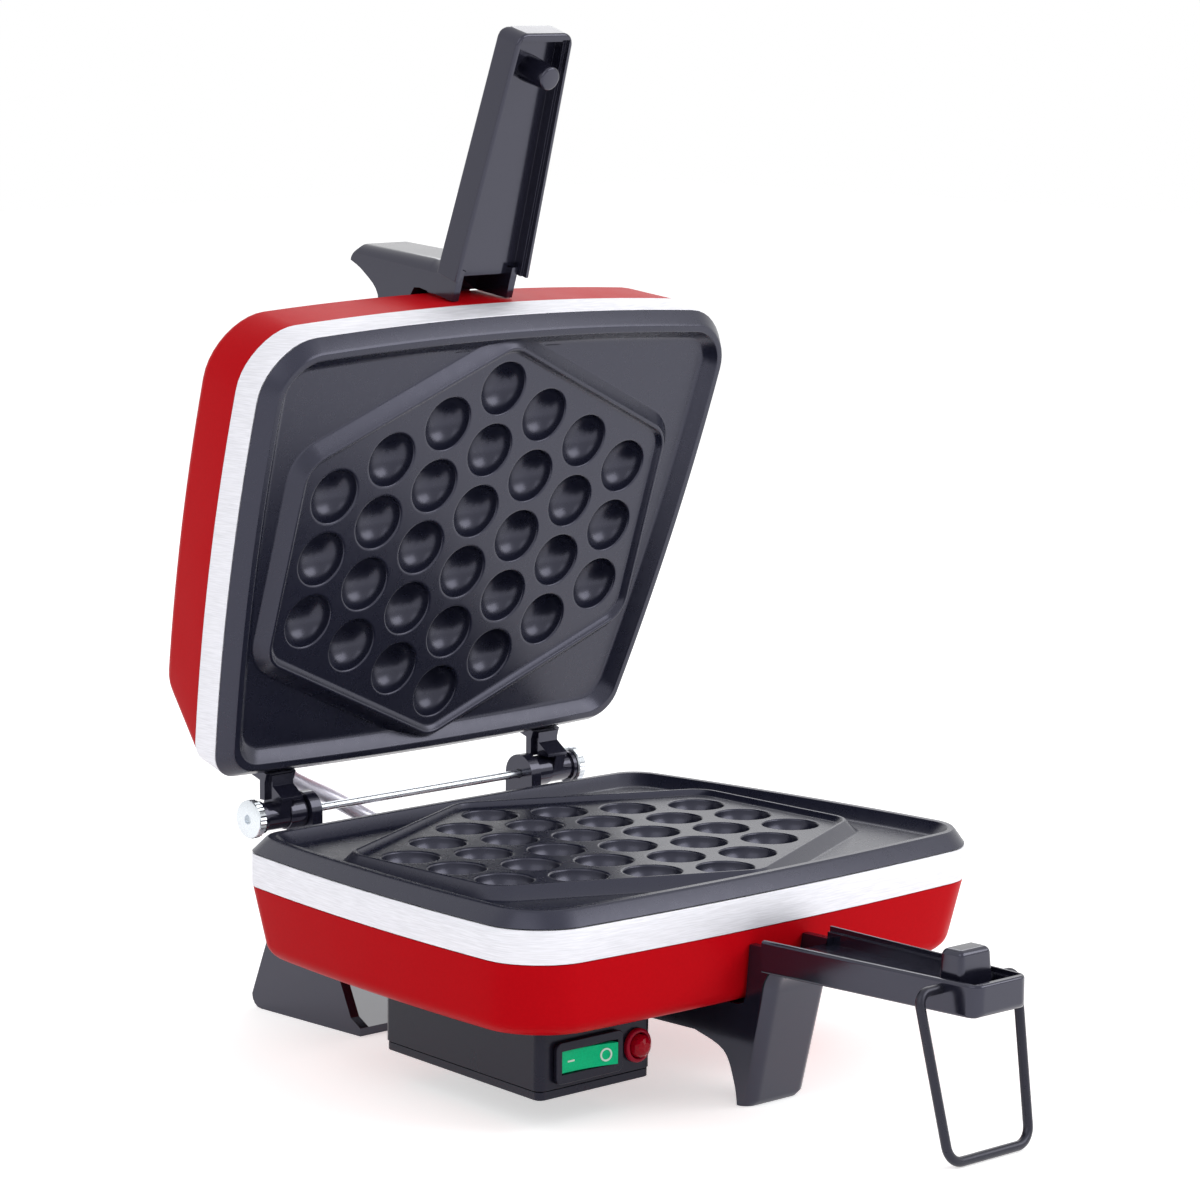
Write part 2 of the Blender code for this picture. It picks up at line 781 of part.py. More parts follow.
def handle(half):
    """The channel handle, its leg and the arm under the pan, all one moulding."""
    name = {"base": "lower_handle", "lid": "upper_handle"}[half]
    under = HANDLE_RIM_Z - HANDLE_HEIGHT
    root = HANDLE_ROOT_Y
    tip = [
        (-HANDLE_TIP_HALF, HANDLE_TIP_Y, HANDLE_TIP_R),
        (HANDLE_TIP_HALF, HANDLE_TIP_Y, HANDLE_TIP_R),
        (HANDLE_ROOT_HALF, root, 0),
        (-HANDLE_ROOT_HALF, root, 0),
    ]
    grip = solid(name, *prism(rounded(tip), under, HANDLE_RIM_Z), PLASTIC, half)
    nose = [
        (HANDLE_TIP_Y - OVERRUN, HANDLE_RIM_Z - HANDLE_HEIGHT + HANDLE_TIP_UNDER_R),
        (HANDLE_TIP_Y, HANDLE_RIM_Z - HANDLE_HEIGHT + HANDLE_TIP_UNDER_R),
    ]
    for k in range(1, CORNER_STEPS + 1):
        t = math.pi / 2 * k / CORNER_STEPS
        nose.append(
            (
                HANDLE_TIP_Y + HANDLE_TIP_UNDER_R * (1 - math.cos(t)),
                under + HANDLE_TIP_UNDER_R * (1 - math.sin(t)),
            )
        )
    nose += [
        (HANDLE_TIP_Y + HANDLE_TIP_UNDER_R, under - OVERRUN),
        (HANDLE_TIP_Y - OVERRUN, under - OVERRUN),
    ]
    wide = HANDLE_ROOT_HALF + OVERRUN
    combine(grip, solid(name + "_nose", *prism(nose, -wide, wide, "X"), None, half))
    soften(grip, HANDLE_EDGE_R)

    sole = GROUND_Z
    ledge = HANDLE_RIM_Z - LEDGE_DROP
    side = [
        (root - HANDLE_WALL, ledge),
        (wall_front_y(ledge) - GAP, ledge),
        (LEG_BACK_Y, LEG_BACK_Z),
        (LEG_BACK_Y + LEG_BACK_R / 4, PAN_DEPTH_Z + LEG_BACK_R / 4 - GAP),
        (LEG_BACK_Y + LEG_BACK_R, PAN_DEPTH_Z - GAP),
        (ARM_END_Y, PAN_DEPTH_Z - GAP),
        (ARM_END_Y, ARM_UNDER_Z),
        (ARM_SWEEP_FLAT_Y, ARM_UNDER_Z),
        (ARM_SWEEP_Y, ARM_SWEEP_Z),
        (LEG_CALF_Y, LEG_CALF_Z),
        (LEG_REAR_FOOT_Y, sole),
        (LEG_FRONT_FOOT_Y + LEG_TOE, sole),
        (LEG_FRONT_FOOT_Y, sole + LEG_TOE),
        (LEG_FRONT_TOP_Y, LEG_FRONT_TOP_Z),
    ]
    toe = side.index((LEG_FRONT_FOOT_Y + LEG_TOE, sole))
    for k in range(1, CORNER_STEPS + 1):
        t = math.pi / 2 * k / CORNER_STEPS
        side.append(
            (
                LEG_FRONT_TOP_Y - LEG_ARCH_R * (1 - math.cos(t)),
                LEG_FRONT_TOP_Z + (under - LEG_FRONT_TOP_Z) * math.sin(t),
            )
        )
    front = list(range(toe, len(side)))
    side.append((LEG_FRONT_TOP_Y - LEG_ARCH_R, under + HANDLE_WALL))
    side.append((root - HANDLE_WALL, under + HANDLE_WALL))
    points, faces = prism(side, -LEG_HALF, LEG_HALF, "X")
    narrowed = []
    for x, y, z in points:
        share = max(0, min(1, (LEG_FRONT_TOP_Z - z) / (LEG_FRONT_TOP_Z - sole)))
        keep = LEG_HALF + (LEG_SOLE_HALF - LEG_HALF) * share
        narrowed.append((x / LEG_HALF * keep, y, z))
    chains = (front, [i + len(side) for i in front])
    leg = solid(name + "_leg", *round_chains(narrowed, faces, chains, LEG_EDGE_R), None, half)
    soften(leg, HANDLE_EDGE_R)
    combine(grip, leg, "UNION")

    floor = HANDLE_RIM_Z - CHANNEL_DEPTH
    for word, wall, low in (("lip", HANDLE_LIP, HANDLE_RIM_Z - HANDLE_LIP_DEPTH), ("channel", HANDLE_WALL, floor)):
        end = HANDLE_TIP_Y + wall + HANDLE_END_WALL - HANDLE_WALL
        inner_r = HANDLE_TIP_R - wall / 2
        inner = [
            (-HANDLE_TIP_HALF + wall, end, inner_r),
            (HANDLE_TIP_HALF - wall, end, inner_r),
            (HANDLE_ROOT_HALF - wall, root + OVERRUN, 0),
            (-HANDLE_ROOT_HALF + wall, root + OVERRUN, 0),
        ]
        combine(grip, solid(name + "_" + word, *prism(rounded(inner), low, HANDLE_RIM_Z + OVERRUN), None, half))
    plate = LEG_HALF - HANDLE_WALL
    pocket = box(-plate, plate, root + GAP, wall_front_y(ledge) + OVERRUN, LEG_FRONT_TOP_Z, floor + OVERRUN * 2)
    combine(grip, solid(name + "_pocket", *pocket, None, half))
    spot = (0, HANDLE_SCREW_Y, 0)
    low = ARM_UNDER_Z - OVERRUN
    combine(grip, hole(name + "_bore", spot, "Z", SCREW_R + GAP, low, PAN_DEPTH_Z + GAP, half))
    return grip


def drill_bail_holes(grip):
    span = HANDLE_ROOT_HALF + OVERRUN
    place = (0, BAIL_PIVOT_Y, BAIL_PIVOT_Z)
    return combine(grip, hole("bail_holes", place, "X", WIRE_R + GAP, -span, span))


def handle_screw(half):
    name = {"base": "lower_handle_screw", "lid": "upper_handle_screw"}[half]
    place = (0, HANDLE_SCREW_Y, ARM_UNDER_Z - GAP)
    length = PAN_DEPTH_Z + PAN_WALL + SCREW_TIP - ARM_UNDER_Z
    return screw_at(name, place, "Z", -1, length, ZINC, half)


for side in ("base", "lid"):
    shell = pan(side)
    combine(
        shell,
        hole(
            side + "_handle_screw_hole",
            (0, HANDLE_SCREW_Y, 0),
            "Z",
            SCREW_R + GAP,
            PAN_DEPTH_Z - OVERRUN,
            PAN_DEPTH_Z + PAN_WALL + OVERRUN,
            side,
        ),
    )
    band(side)
    hot_plate(side)
    heater(side)
    shield(side)
    thermostat(side)
    handle_screw(side)

lower = drill_bail_holes(handle("base"))
upper = handle("lid")

# Block in the lower channel, pin in the upper one
floor_z = HANDLE_RIM_Z - CHANNEL_DEPTH + GAP
block_back = BLOCK_FRONT_Y + BLOCK_DEPTH


def block_ring(taper, z):
    x, front, back = BLOCK_HALF - taper, BLOCK_FRONT_Y + taper, block_back - taper
    corners = [(-x, front), (x, front), (x, back), (-x, back)]
    return level(rounded([(*corner, BLOCK_EDGE_R) for corner in corners], 3), z)


block_rings = [block_ring(0, floor_z), block_ring(BLOCK_TAPER, BLOCK_TOP_Z)]
block = solid("handle_block", *loft(block_rings), PLASTIC)
soften(block, BLOCK_EDGE_R, 2, 60)
solid(
    "handle_pin",
    *turned(
        [
            (floor_z, 0),
            (floor_z, PIN_BASE_R),
            (floor_z + PIN_H - CREST_ROUND, PIN_TOP_R),
            (floor_z + PIN_H, PIN_TOP_R - CREST_ROUND),
            (floor_z + PIN_H, 0),
        ],
        (0, PIN_Y, 0),
        "Z",
    ),
    PLASTIC,
    "lid",
)

# Wire bail, hanging forward a little until its bar clears the table
hang = math.acos((BAIL_PIVOT_Z - WIRE_R - BAIL_GROUND_GAP - GROUND_Z) / BAIL_LENGTH)
bail_axis = axis_empty("bail_axis", (0, BAIL_PIVOT_Y, BAIL_PIVOT_Z), (-hang, 0, 0))
hook_share = (BAIL_PIVOT_Y - HANDLE_TIP_Y) / (HANDLE_ROOT_Y - HANDLE_TIP_Y)
hook_x = HANDLE_TIP_HALF + (HANDLE_ROOT_HALF - HANDLE_TIP_HALF) * hook_share
hook_x -= HANDLE_WALL + BAIL_HOOK_DEPTH
bail_route = bent(
    [
        ((-hook_x, 0, 0), 0),
        ((-BAIL_TOP_HALF, 0, 0), BAIL_TOP_BEND_R),
        ((-BAIL_FOOT_HALF, 0, -BAIL_LENGTH), BAIL_FOOT_BEND_R),
        ((BAIL_FOOT_HALF, 0, -BAIL_LENGTH), BAIL_FOOT_BEND_R),
        ((BAIL_TOP_HALF, 0, 0), BAIL_TOP_BEND_R),
        ((hook_x, 0, 0), 0),
    ]
)
solid("latch_bail", *swept(bail_route, WIRE_R, WIRE_SIDES), WIRE, parent=bail_axis, smooth=True)

# Rear bracket: two side plates with ears, a cross flange on the pan and a sole plate
outer_x = BRACKET_INNER_X + BRACKET_WALL
ear_end = EAR_INNER_X + EAR_WIDTH
sole_top = GROUND_Z + BRACKET_SOLE


def ear_arc(steps=14):
    turns = [math.pi * k / steps for k in range(steps + 1)]
    return [(HINGE_Y + EAR_R * math.cos(t), HINGE_Z + EAR_R * math.sin(t)) for t in turns]


reach = Vector((BRACKET_REAR_Y - HINGE_Y, GROUND_Z + BRACKET_HEEL_R - HINGE_Z))
lean = math.atan2(reach.y, reach.x) + math.acos(EAR_R / reach.length)
spine_top_y = HINGE_Y + (EAR_R + (HINGE_Z - SHELF_TOP_Z) * math.sin(lean)) / math.cos(lean)
heel_turns = [math.pi / 2 * k / HEEL_STEPS for k in range(HEEL_STEPS + 1)]
plate_outline = [
    (BRACKET_FRONT_Y, GROUND_Z),
    *(
        (
            BRACKET_REAR_Y - BRACKET_HEEL_R * (1 - math.sin(t)),
            GROUND_Z + BRACKET_HEEL_R * (1 - math.cos(t)),
        )
        for t in heel_turns
    ),
    (spine_top_y, SHELF_TOP_Z),
    (HINGE_Y - EAR_R, SHELF_TOP_Z),
    (HINGE_Y - EAR_R, BRACKET_WAIST_Z),
    (BRACKET_KNEE_Y, BRACKET_KNEE_Z),
    (BRACKET_SHIN_Y, sole_top + BRACKET_SOLE),
    (BRACKET_FRONT_Y, sole_top),
]
bracket = solid("rear_bracket", *prism(plate_outline, -outer_x, -BRACKET_INNER_X, "X"), PLASTIC)
twin = solid("bracket_twin", *prism(plate_outline, BRACKET_INNER_X, outer_x, "X"))
sole_plate = solid(
    "bracket_sole",
    *box(
        -outer_x + BRACKET_WALL / 2,
        outer_x - BRACKET_WALL / 2,
        BRACKET_FRONT_Y,
        BRACKET_REAR_Y - BRACKET_HEEL_R,
        GROUND_Z,
        sole_top,
    ),
)
flange_front_top = wall_rear_y(FLANGE_TOP_Z) + GAP
flange_front_low = wall_rear_y(FLANGE_BOTTOM_Z) + GAP
flange_rear = flange_front_top + FLANGE_THICK
flange = solid(
    "bracket_flange",
    *prism(
        [
            (flange_front_top, FLANGE_TOP_Z),
            (flange_rear, FLANGE_TOP_Z),
            (flange_rear, FLANGE_BOTTOM_Z),
            (flange_front_low, FLANGE_BOTTOM_Z),
        ],
        -outer_x + BRACKET_WALL / 2,
        outer_x - BRACKET_WALL / 2,
        "X",
    ),
)
combine(bracket, sole_plate, "UNION")
combine(bracket, twin, "UNION")
combine(bracket, flange, "UNION")
for sign, word in ((-1, "left"), (1, "right")):
    cheek = [
        (flange_rear - FLANGE_THICK / 2, FLANGE_TOP_Z),
        (HINGE_Y - EAR_R + OVERRUN, FLANGE_TOP_Z),
        (HINGE_Y - EAR_R + OVERRUN, FLANGE_BOTTOM_Z),
        (flange_rear - FLANGE_THICK / 2, FLANGE_BOTTOM_Z),
    ]
    ends = sorted((sign * BRACKET_INNER_X, sign * (outer_x - BRACKET_WALL / 4)))
    combine(bracket, solid("bracket_cheek_" + word, *prism(cheek, *ends, "X")), "UNION")
    shelf_low = SHELF_TOP_Z - SHELF_THICK
    ends = sorted((sign * (BRACKET_INNER_X + BRACKET_WALL / 4), sign * (ear_end - GAP)))
    shelf = box(*ends, HINGE_Y - EAR_R + GAP, HINGE_Y + EAR_R - GAP, shelf_low, SHELF_TOP_Z - GAP)
    combine(bracket, solid("bracket_shelf_" + word, *shelf), "UNION")
    ear = ear_arc() + [(HINGE_Y - EAR_R, shelf_low + GAP), (HINGE_Y + EAR_R, shelf_low + GAP)]
    ends = sorted((sign * EAR_INNER_X, sign * ear_end))
    combine(bracket, solid("bracket_ear_" + word, *prism(ear, *ends, "X")), "UNION")
span = LUG_END_X + OVERRUN
combine(bracket, hole("bracket_rod_bore", (0, HINGE_Y, HINGE_Z), "X", ROD_R + ROD_CLEAR, -span, span))

# Screws of the bracket, into the pan's rear wall
screw_z = (FLANGE_TOP_Z + FLANGE_BOTTOM_Z) / 2
pan_base = bpy.data.objects["base_housing"]
for sign, word in ((-1, "left"), (1, "right")):
    place = (sign * BRACKET_SCREW_X, flange_rear + GAP, screw_z)
    length = FLANGE_THICK + PAN_WALL * 2 + SCREW_TIP
    screw_at("bracket_screw_" + word, place, "Y", 1, length, ZINC)
    bore = hole("bracket_screw_hole_" + word, place, "Y", SCREW_R + GAP, -length - OVERRUN, OVERRUN)
    combine(bracket, bore)
    combine(pan_base, bore)

# Hinge rod, bushes and caps
rod_end = LUG_END_X + GAP + CAP_BORE_DEPTH - GAP
solid(
    "hinge_rod",
    *turned([(-rod_end, 0), (-rod_end, ROD_R), (rod_end, ROD_R), (rod_end, 0)], (0, HINGE_Y, HINGE_Z), "X", 16),
    ZINC,
    smooth=True,
)
for sign, word in ((-1, "left"), (1, "right")):
    hub = (0, HINGE_Y, HINGE_Z)
    bore_r = ROD_R + ROD_CLEAR
    sleeve = [
        (sign * (ear_end + GAP), bore_r),
        (sign * (ear_end + GAP), BUSH_R),
        (sign * (BUSH_END_X - GAP), BUSH_R),
        (sign * (BUSH_END_X - GAP), bore_r),
    ]
    solid("hinge_bush_" + word, *turned(sleeve, hub, "X", through=True), PLASTIC)
    inner = LUG_END_X + GAP
    outer = inner + CAP_THICK
    cap = [
        (sign * (inner + CAP_BORE_DEPTH), 0),
        (sign * (inner + CAP_BORE_DEPTH), bore_r),
        (sign * inner, bore_r),
        (sign * inner, CAP_R),
        (sign * (outer - CAP_DOME), CAP_R),
        (sign * outer, CAP_R - CAP_DOME * 2),
        (sign * outer, CAP_SOCKET_R),
        (sign * (outer - CAP_SOCKET_DEPTH), CAP_SOCKET_R),
        (sign * (outer - CAP_SOCKET_DEPTH), 0),
    ]
    solid("rod_cap_" + word, *turned(cap, hub, "X", 24), ZINC)

# Hinge arms of the lid, drawn as if on the lower half and then mirrored with it
def from_rod(back, up):
    """A place behind and over the rod with the lid open, as it is drawn on the lower half."""
    t = math.radians(LID_OPEN_DEGREES)
    y = HINGE_Y + back * math.cos(t) - up * math.sin(t)
    return (y, lid_hub_z - back * math.sin(t) - up * math.cos(t))


def up_to_wall(back):
    """How far over the rod a line that stands upright at this place meets the lid's wall."""
    t = math.radians(LID_OPEN_DEGREES)
    return (HINGE_Y + back * math.cos(t) - rear_wall - GAP) / math.sin(t)


lid_hub_z = 2 * PARTING_Z - HINGE_Z
rear_wall = wall_rear_y(BAND_BOTTOM_Z, ARM_INNER_X, "lid") + PAN_INSET + GAP
flange_low_y = wall_rear_y(ARM_FLANGE_END_Z, ARM_INNER_X, "lid") + GAP
flange_seat_z = ARM_FLANGE_END_Z + SCREW_HEAD_R * 2
flange_seat_y = wall_rear_y(flange_seat_z, ARM_INNER_X, "lid") + GAP + ARM_FLANGE_THICK
for sign, word in ((-1, "left"), (1, "right")):
    name = "hinge_arm_" + word
    lug = [
        (sign * (BUSH_END_X), 0),
        (sign * (BUSH_END_X), LUG_R),
        (sign * (LUG_END_X - LUG_FLANGE), LUG_R),
        (sign * (LUG_END_X - LUG_FLANGE), LUG_FLANGE_R),
        (sign * LUG_END_X, LUG_FLANGE_R),
        (sign * LUG_END_X, 0),
    ]
    arm = solid(name, *turned(lug, (0, HINGE_Y, lid_hub_z), "X"), PLASTIC, "lid")
    over_bush = LUG_R + GAP * 2
    leaf = [
        from_rod(ARM_FACE, up_to_wall(ARM_FACE)),
        from_rod(ARM_FACE, over_bush),
        from_rod(ARM_BACK, over_bush),
        from_rod(ARM_BACK, up_to_wall(ARM_BACK)),
    ]
    ends = sorted((sign * (ARM_INNER_X + GAP), sign * (ARM_OUTER_X - GAP)))
    combine(arm, solid(name + "_leaf", *prism(leaf, *ends, "X"), None, "lid"), "UNION")
    middle = (ARM_FACE + ARM_BACK) / 2
    pad = [
        from_rod(ARM_PAD_FACE, up_to_wall(ARM_PAD_FACE)),
        from_rod(ARM_PAD_FACE, ARM_PAD_LOW),
        from_rod(ARM_TOE, ARM_TOE_TOP),
        from_rod(ARM_TOE, over_bush + GAP),
        from_rod(middle, over_bush + GAP),
        from_rod(middle, up_to_wall(middle)),
    ]
    ends = sorted((sign * ARM_PAD_INNER_X, sign * ARM_PAD_OUTER_X))
    combine(arm, solid(name + "_pad", *prism(pad, *ends, "X"), None, "lid"), "UNION")
    web = [from_rod(ARM_TOE + GAP, over_bush + GAP * 2), from_rod(ARM_BACK - GAP, over_bush + GAP * 2)]
    web += [from_rod(LUG_R - GAP, 0), from_rod(GAP - LUG_R, 0)]
    ends = sorted((sign * (BUSH_END_X + GAP), sign * (ARM_PAD_OUTER_X - GAP)))
    combine(arm, solid(name + "_web", *prism(web, *ends, "X"), None, "lid"), "UNION")
    foot = [
        (rear_wall, ARM_FLANGE_TOP_Z),
        (rear_wall + ARM_FLANGE_THICK, ARM_FLANGE_TOP_Z),
        (rear_wall + ARM_FLANGE_THICK, BAND_BOTTOM_Z),
        (flange_seat_y, flange_seat_z),
        (flange_seat_y, ARM_FLANGE_END_Z),
        (flange_low_y, ARM_FLANGE_END_Z),
        (rear_wall, BAND_BOTTOM_Z),
    ]
    ends = sorted((sign * ARM_INNER_X, sign * ARM_OUTER_X))
    combine(arm, solid(name + "_foot", *prism(foot, *ends, "X"), None, "lid"), "UNION")
    combine(
        arm,
        hole(name + "_bore", (0, HINGE_Y, lid_hub_z), "X", ROD_R + ROD_CLEAR, -span, span, "lid"),
    )
    middle_x = sign * (ARM_INNER_X + ARM_OUTER_X) / 2
    screw_z = ARM_FLANGE_END_Z + SCREW_HEAD_R
    place = (middle_x, flange_seat_y + GAP, screw_z)
    length = flange_seat_y - flange_low_y + PAN_WALL * 2 + SCREW_TIP
    screw_at("hinge_screw_" + word, place, "Y", 1, length, ZINC, "lid")
    bore = hole("hinge_screw_hole_" + word, place, "Y", SCREW_R + GAP, -length - OVERRUN, OVERRUN, "lid")
    combine(arm, bore)
    combine(bpy.data.objects["lid_housing"], bore)

# Conduit for the lid's heater wires, with its two fittings
wires_lid = wall_rear_y(FITTING_LID_Z, FITTING_LID_X, "lid")
wires_base = wall_rear_y(FITTING_BASE_Z, FITTING_BASE_X)


def on_wall(place, lean, out, across=0.0):
    """A place on the rear wall, moved out along the wall's normal and across it, downwards."""
    t = math.radians(lean)
    y = out * math.cos(t) - across * math.sin(t)
    return Vector(place) + Vector((0, y, -out * math.sin(t) - across * math.cos(t)))


def fitting(name, place, lean, half):
    ring = FITTING_LENGTH / 2
    profile = [
        (GAP, CONDUIT_R + GAP),
        (GAP, FITTING_R),
        (ring, FITTING_R),
        (ring, FITTING_R - GAP * 2),
        (FITTING_LENGTH, FITTING_R - GAP * 2),
        (FITTING_LENGTH, CONDUIT_R + GAP),
    ]
    points, faces = turned(profile, (0, 0, 0), "Y", 12, through=True)
    points = [tuple(on_wall((place[0] + x, *place[1:]), lean, y, -z)) for x, y, z in points]
    return solid(name, points, faces, ZINC, half)


lid_exit = (FITTING_LID_X, wires_lid, FITTING_LID_Z)
base_exit = (FITTING_BASE_X, wires_base, FITTING_BASE_Z)
fitting("conduit_fitting_lid", lid_exit, LID_REAR_LEAN_DEGREES, "lid")
fitting("conduit_fitting_base", base_exit, PAN_DRAFT_DEGREES, "base")
turn = Matrix.Rotation(-math.radians(LID_OPEN_DEGREES), 3, "X")
mouth = Vector((0, HINGE_Y, HINGE_Z))
runs = (GAP * 2, FITTING_LENGTH, FITTING_LENGTH + CONDUIT_R)
conduit_route = [mouth + turn @ to_lid(on_wall(lid_exit, LID_REAR_LEAN_DEGREES, run)) for run in runs]
conduit_route += [Vector(p) for p in CONDUIT_ROUTE]
conduit_route += [on_wall(base_exit, PAN_DRAFT_DEGREES, run) for run in reversed(runs)]
solid("conduit", *swept(smooth_route(conduit_route), CONDUIT_R, CONDUIT_SIDES), STEEL, smooth=True)

# Switch box under the pan, its cover, switch and lamp
box_top = PAN_DEPTH_Z - GAP
box_low = box_top - BOX_DEPTH


def inset_box(amount, radius):
    corners = [
        (BOX_NEAR_X + amount, BOX_FRONT_Y + amount, radius),
        (BOX_FAR_X - amount, BOX_FRONT_Y + amount, radius),
        (BOX_FAR_X - amount, BOX_REAR_Y - amount, radius),
        (BOX_REAR_X + amount, BOX_REAR_Y - amount, radius),
    ]
    return rounded(corners, BOX_EDGE_STEPS)


control = solid("control_box", *prism(inset_box(0, BOX_EDGE_R), box_low, box_top), PLASTIC)
hollow = prism(inset_box(BOX_WALL, BOX_EDGE_R / 2), box_low - OVERRUN, box_top - BOX_WALL)
combine(control, solid("control_box_hollow", *hollow))
cover_top = box_low - GAP
cover_low = cover_top - COVER_DEPTH
cover = solid(
    "control_box_cover", *prism(inset_box(COVER_INSET, BOX_EDGE_R - COVER_INSET), cover_low, cover_top), PLASTIC
)
panel_z = PAN_DEPTH_Z - PANEL_CENTRE_DROP
bezel_x = BOX_NEAR_X + BEZEL_OFFSET + BEZEL_LENGTH / 2


def pill(half_x, half_z, radius, x, steps=3):
    left, right, low, high = x - half_x, x + half_x, panel_z - half_z, panel_z + half_z
    corners = [(left, low), (right, low), (right, high), (left, high)]
    return [tuple(p) for p in rounded([(*corner, radius) for corner in corners], steps)]


panel_front = BOX_FRONT_Y - GAP
tube_half_x = ROCKER_HOLE_LENGTH / 2 + BEZEL_TUBE_WALL
tube_half_z = ROCKER_HOLE_HEIGHT / 2 + BEZEL_TUBE_WALL
tube_end = panel_front + BEZEL_TUBE_DEPTH
bezel = solid(
    "switch_bezel",
    *prism(
        pill(BEZEL_LENGTH / 2, BEZEL_HEIGHT / 2, BEZEL_CORNER_R, bezel_x), panel_front - BEZEL_PROUD, panel_front, "Y"
    ),
    PLASTIC,
)
tube = solid(
    "bezel_tube",
    *box(
        bezel_x - tube_half_x,
        bezel_x + tube_half_x,
        panel_front - BEZEL_PROUD / 2,
        tube_end,
        panel_z - tube_half_z,
        panel_z + tube_half_z,
    ),
)
combine(bezel, tube, "UNION")
opening = solid(
    "bezel_opening",
    *box(
        bezel_x - ROCKER_HOLE_LENGTH / 2,
        bezel_x + ROCKER_HOLE_LENGTH / 2,
        panel_front - BEZEL_PROUD - OVERRUN,
        tube_end + OVERRUN,
        panel_z - ROCKER_HOLE_HEIGHT / 2,
        panel_z + ROCKER_HOLE_HEIGHT / 2,
    ),
)
combine(bezel, opening)
cutout = solid(
    "switch_cutout",
    *box(
        bezel_x - tube_half_x - GAP,
        bezel_x + tube_half_x + GAP,
        BOX_FRONT_Y - OVERRUN,
        BOX_FRONT_Y + BOX_WALL + OVERRUN,
        panel_z - tube_half_z - GAP,
        panel_z + tube_half_z + GAP,
    ),
)
combine(control, cutout)
solid(
    "switch_body",
    *box(
        bezel_x - tube_half_x,
        bezel_x + tube_half_x,
        tube_end + GAP,
        tube_end + GAP + SWITCH_BODY_DEPTH,
        panel_z - tube_half_z,
        panel_z + tube_half_z,
    ),
    PLASTIC,
)
rocker_axis = axis_empty(
    "rocker_axis",
    (bezel_x, panel_front + ROCKER_PIVOT_DEPTH, panel_z),
    (0, 0, -math.radians(ROCKER_TILT_DEGREES)),
)
crown = [
    (-ROCKER_HALF, -ROCKER_CROWN),
    (-ROCKER_HALF / 2, -ROCKER_CROWN + ROCKER_DIP * 3 / 4),
    (0, -ROCKER_CROWN + ROCKER_DIP),
    (ROCKER_HALF / 2, -ROCKER_CROWN + ROCKER_DIP * 3 / 4),
    (ROCKER_HALF, -ROCKER_CROWN),
    (ROCKER_BACK_HALF, ROCKER_BACK),
    (-ROCKER_BACK_HALF, ROCKER_BACK),
]
solid(
    "switch_rocker",
    *prism(crown, -ROCKER_HALF_HEIGHT, ROCKER_HALF_HEIGHT),
    GREEN,
    parent=rocker_axis,
)
lamp_x = BOX_NEAR_X + LAMP_OFFSET
lamp_place = (lamp_x, 0, panel_z)
ring_profile = [
    (panel_front, LAMP_HOLE_R - GAP),
    (panel_front, LAMP_R),
    (panel_front - LAMP_PROUD / 2, LAMP_R),
    (panel_front - LAMP_PROUD, LAMP_R - LAMP_PROUD / 2),
    (panel_front - LAMP_PROUD, LENS_R + GAP),
    (panel_front + LAMP_TUBE_DEPTH, LENS_R + GAP),
    (panel_front + LAMP_TUBE_DEPTH, LAMP_HOLE_R - GAP),
]
solid("lamp_bezel", *turned(ring_profile, lamp_place, "Y", 24, through=True), LAMP)
lens_profile = [(panel_front + LAMP_TUBE_DEPTH - GAP, 0), (panel_front + LAMP_TUBE_DEPTH - GAP, LENS_R)]
lens_profile.append((panel_front - LAMP_PROUD, LENS_R))
for k in range(1, 5):
    t = math.pi / 2 * k / 5
    lens_profile.append((panel_front - LAMP_PROUD - LENS_DOME * math.sin(t), LENS_R * math.cos(t)))
lens_profile.append((panel_front - LAMP_PROUD - LENS_DOME, 0))
solid("lamp_lens", *turned(lens_profile, lamp_place, "Y", 24), LAMP)
combine(
    control,
    hole("lamp_hole", lamp_place, "Y", LAMP_HOLE_R, BOX_FRONT_Y - OVERRUN, BOX_FRONT_Y + BOX_WALL + OVERRUN),
)

# Terminal block on the ceiling of the box, one-shot fuse under the lower plate
terminal_top = box_top - BOX_WALL - GAP
terminal = solid(
    "terminal_block",
    *box(
        TERMINAL_X - BLOCK_LENGTH / 2,
        TERMINAL_X + BLOCK_LENGTH / 2,
        TERMINAL_Y - TERMINAL_DEPTH / 2,
        TERMINAL_Y + TERMINAL_DEPTH / 2,
        terminal_top - TERMINAL_HEIGHT,
        terminal_top,
    ),
    CERAMIC,
)
for k in (-1, 0, 1):
    place = (TERMINAL_X + k * BLOCK_LENGTH / 3, TERMINAL_Y, terminal_top - TERMINAL_HEIGHT / 2)
    name = "terminal_hole_%d" % (k + 2)
    combine(terminal, hole(name, place, "Y", TERMINAL_HOLE_R, -TERMINAL_DEPTH, TERMINAL_DEPTH))
fuse_z = -BOSS_DEPTH - GAP - FUSE_R
solid(
    "thermal_fuse",
    *turned(
        [(-FUSE_LENGTH / 2, 0), (-FUSE_LENGTH / 2, FUSE_R), (FUSE_LENGTH / 2, FUSE_R), (FUSE_LENGTH / 2, 0)],
        (FUSE_X, 0, fuse_z),
        "Y",
        12,
    ),
    CERAMIC,
)

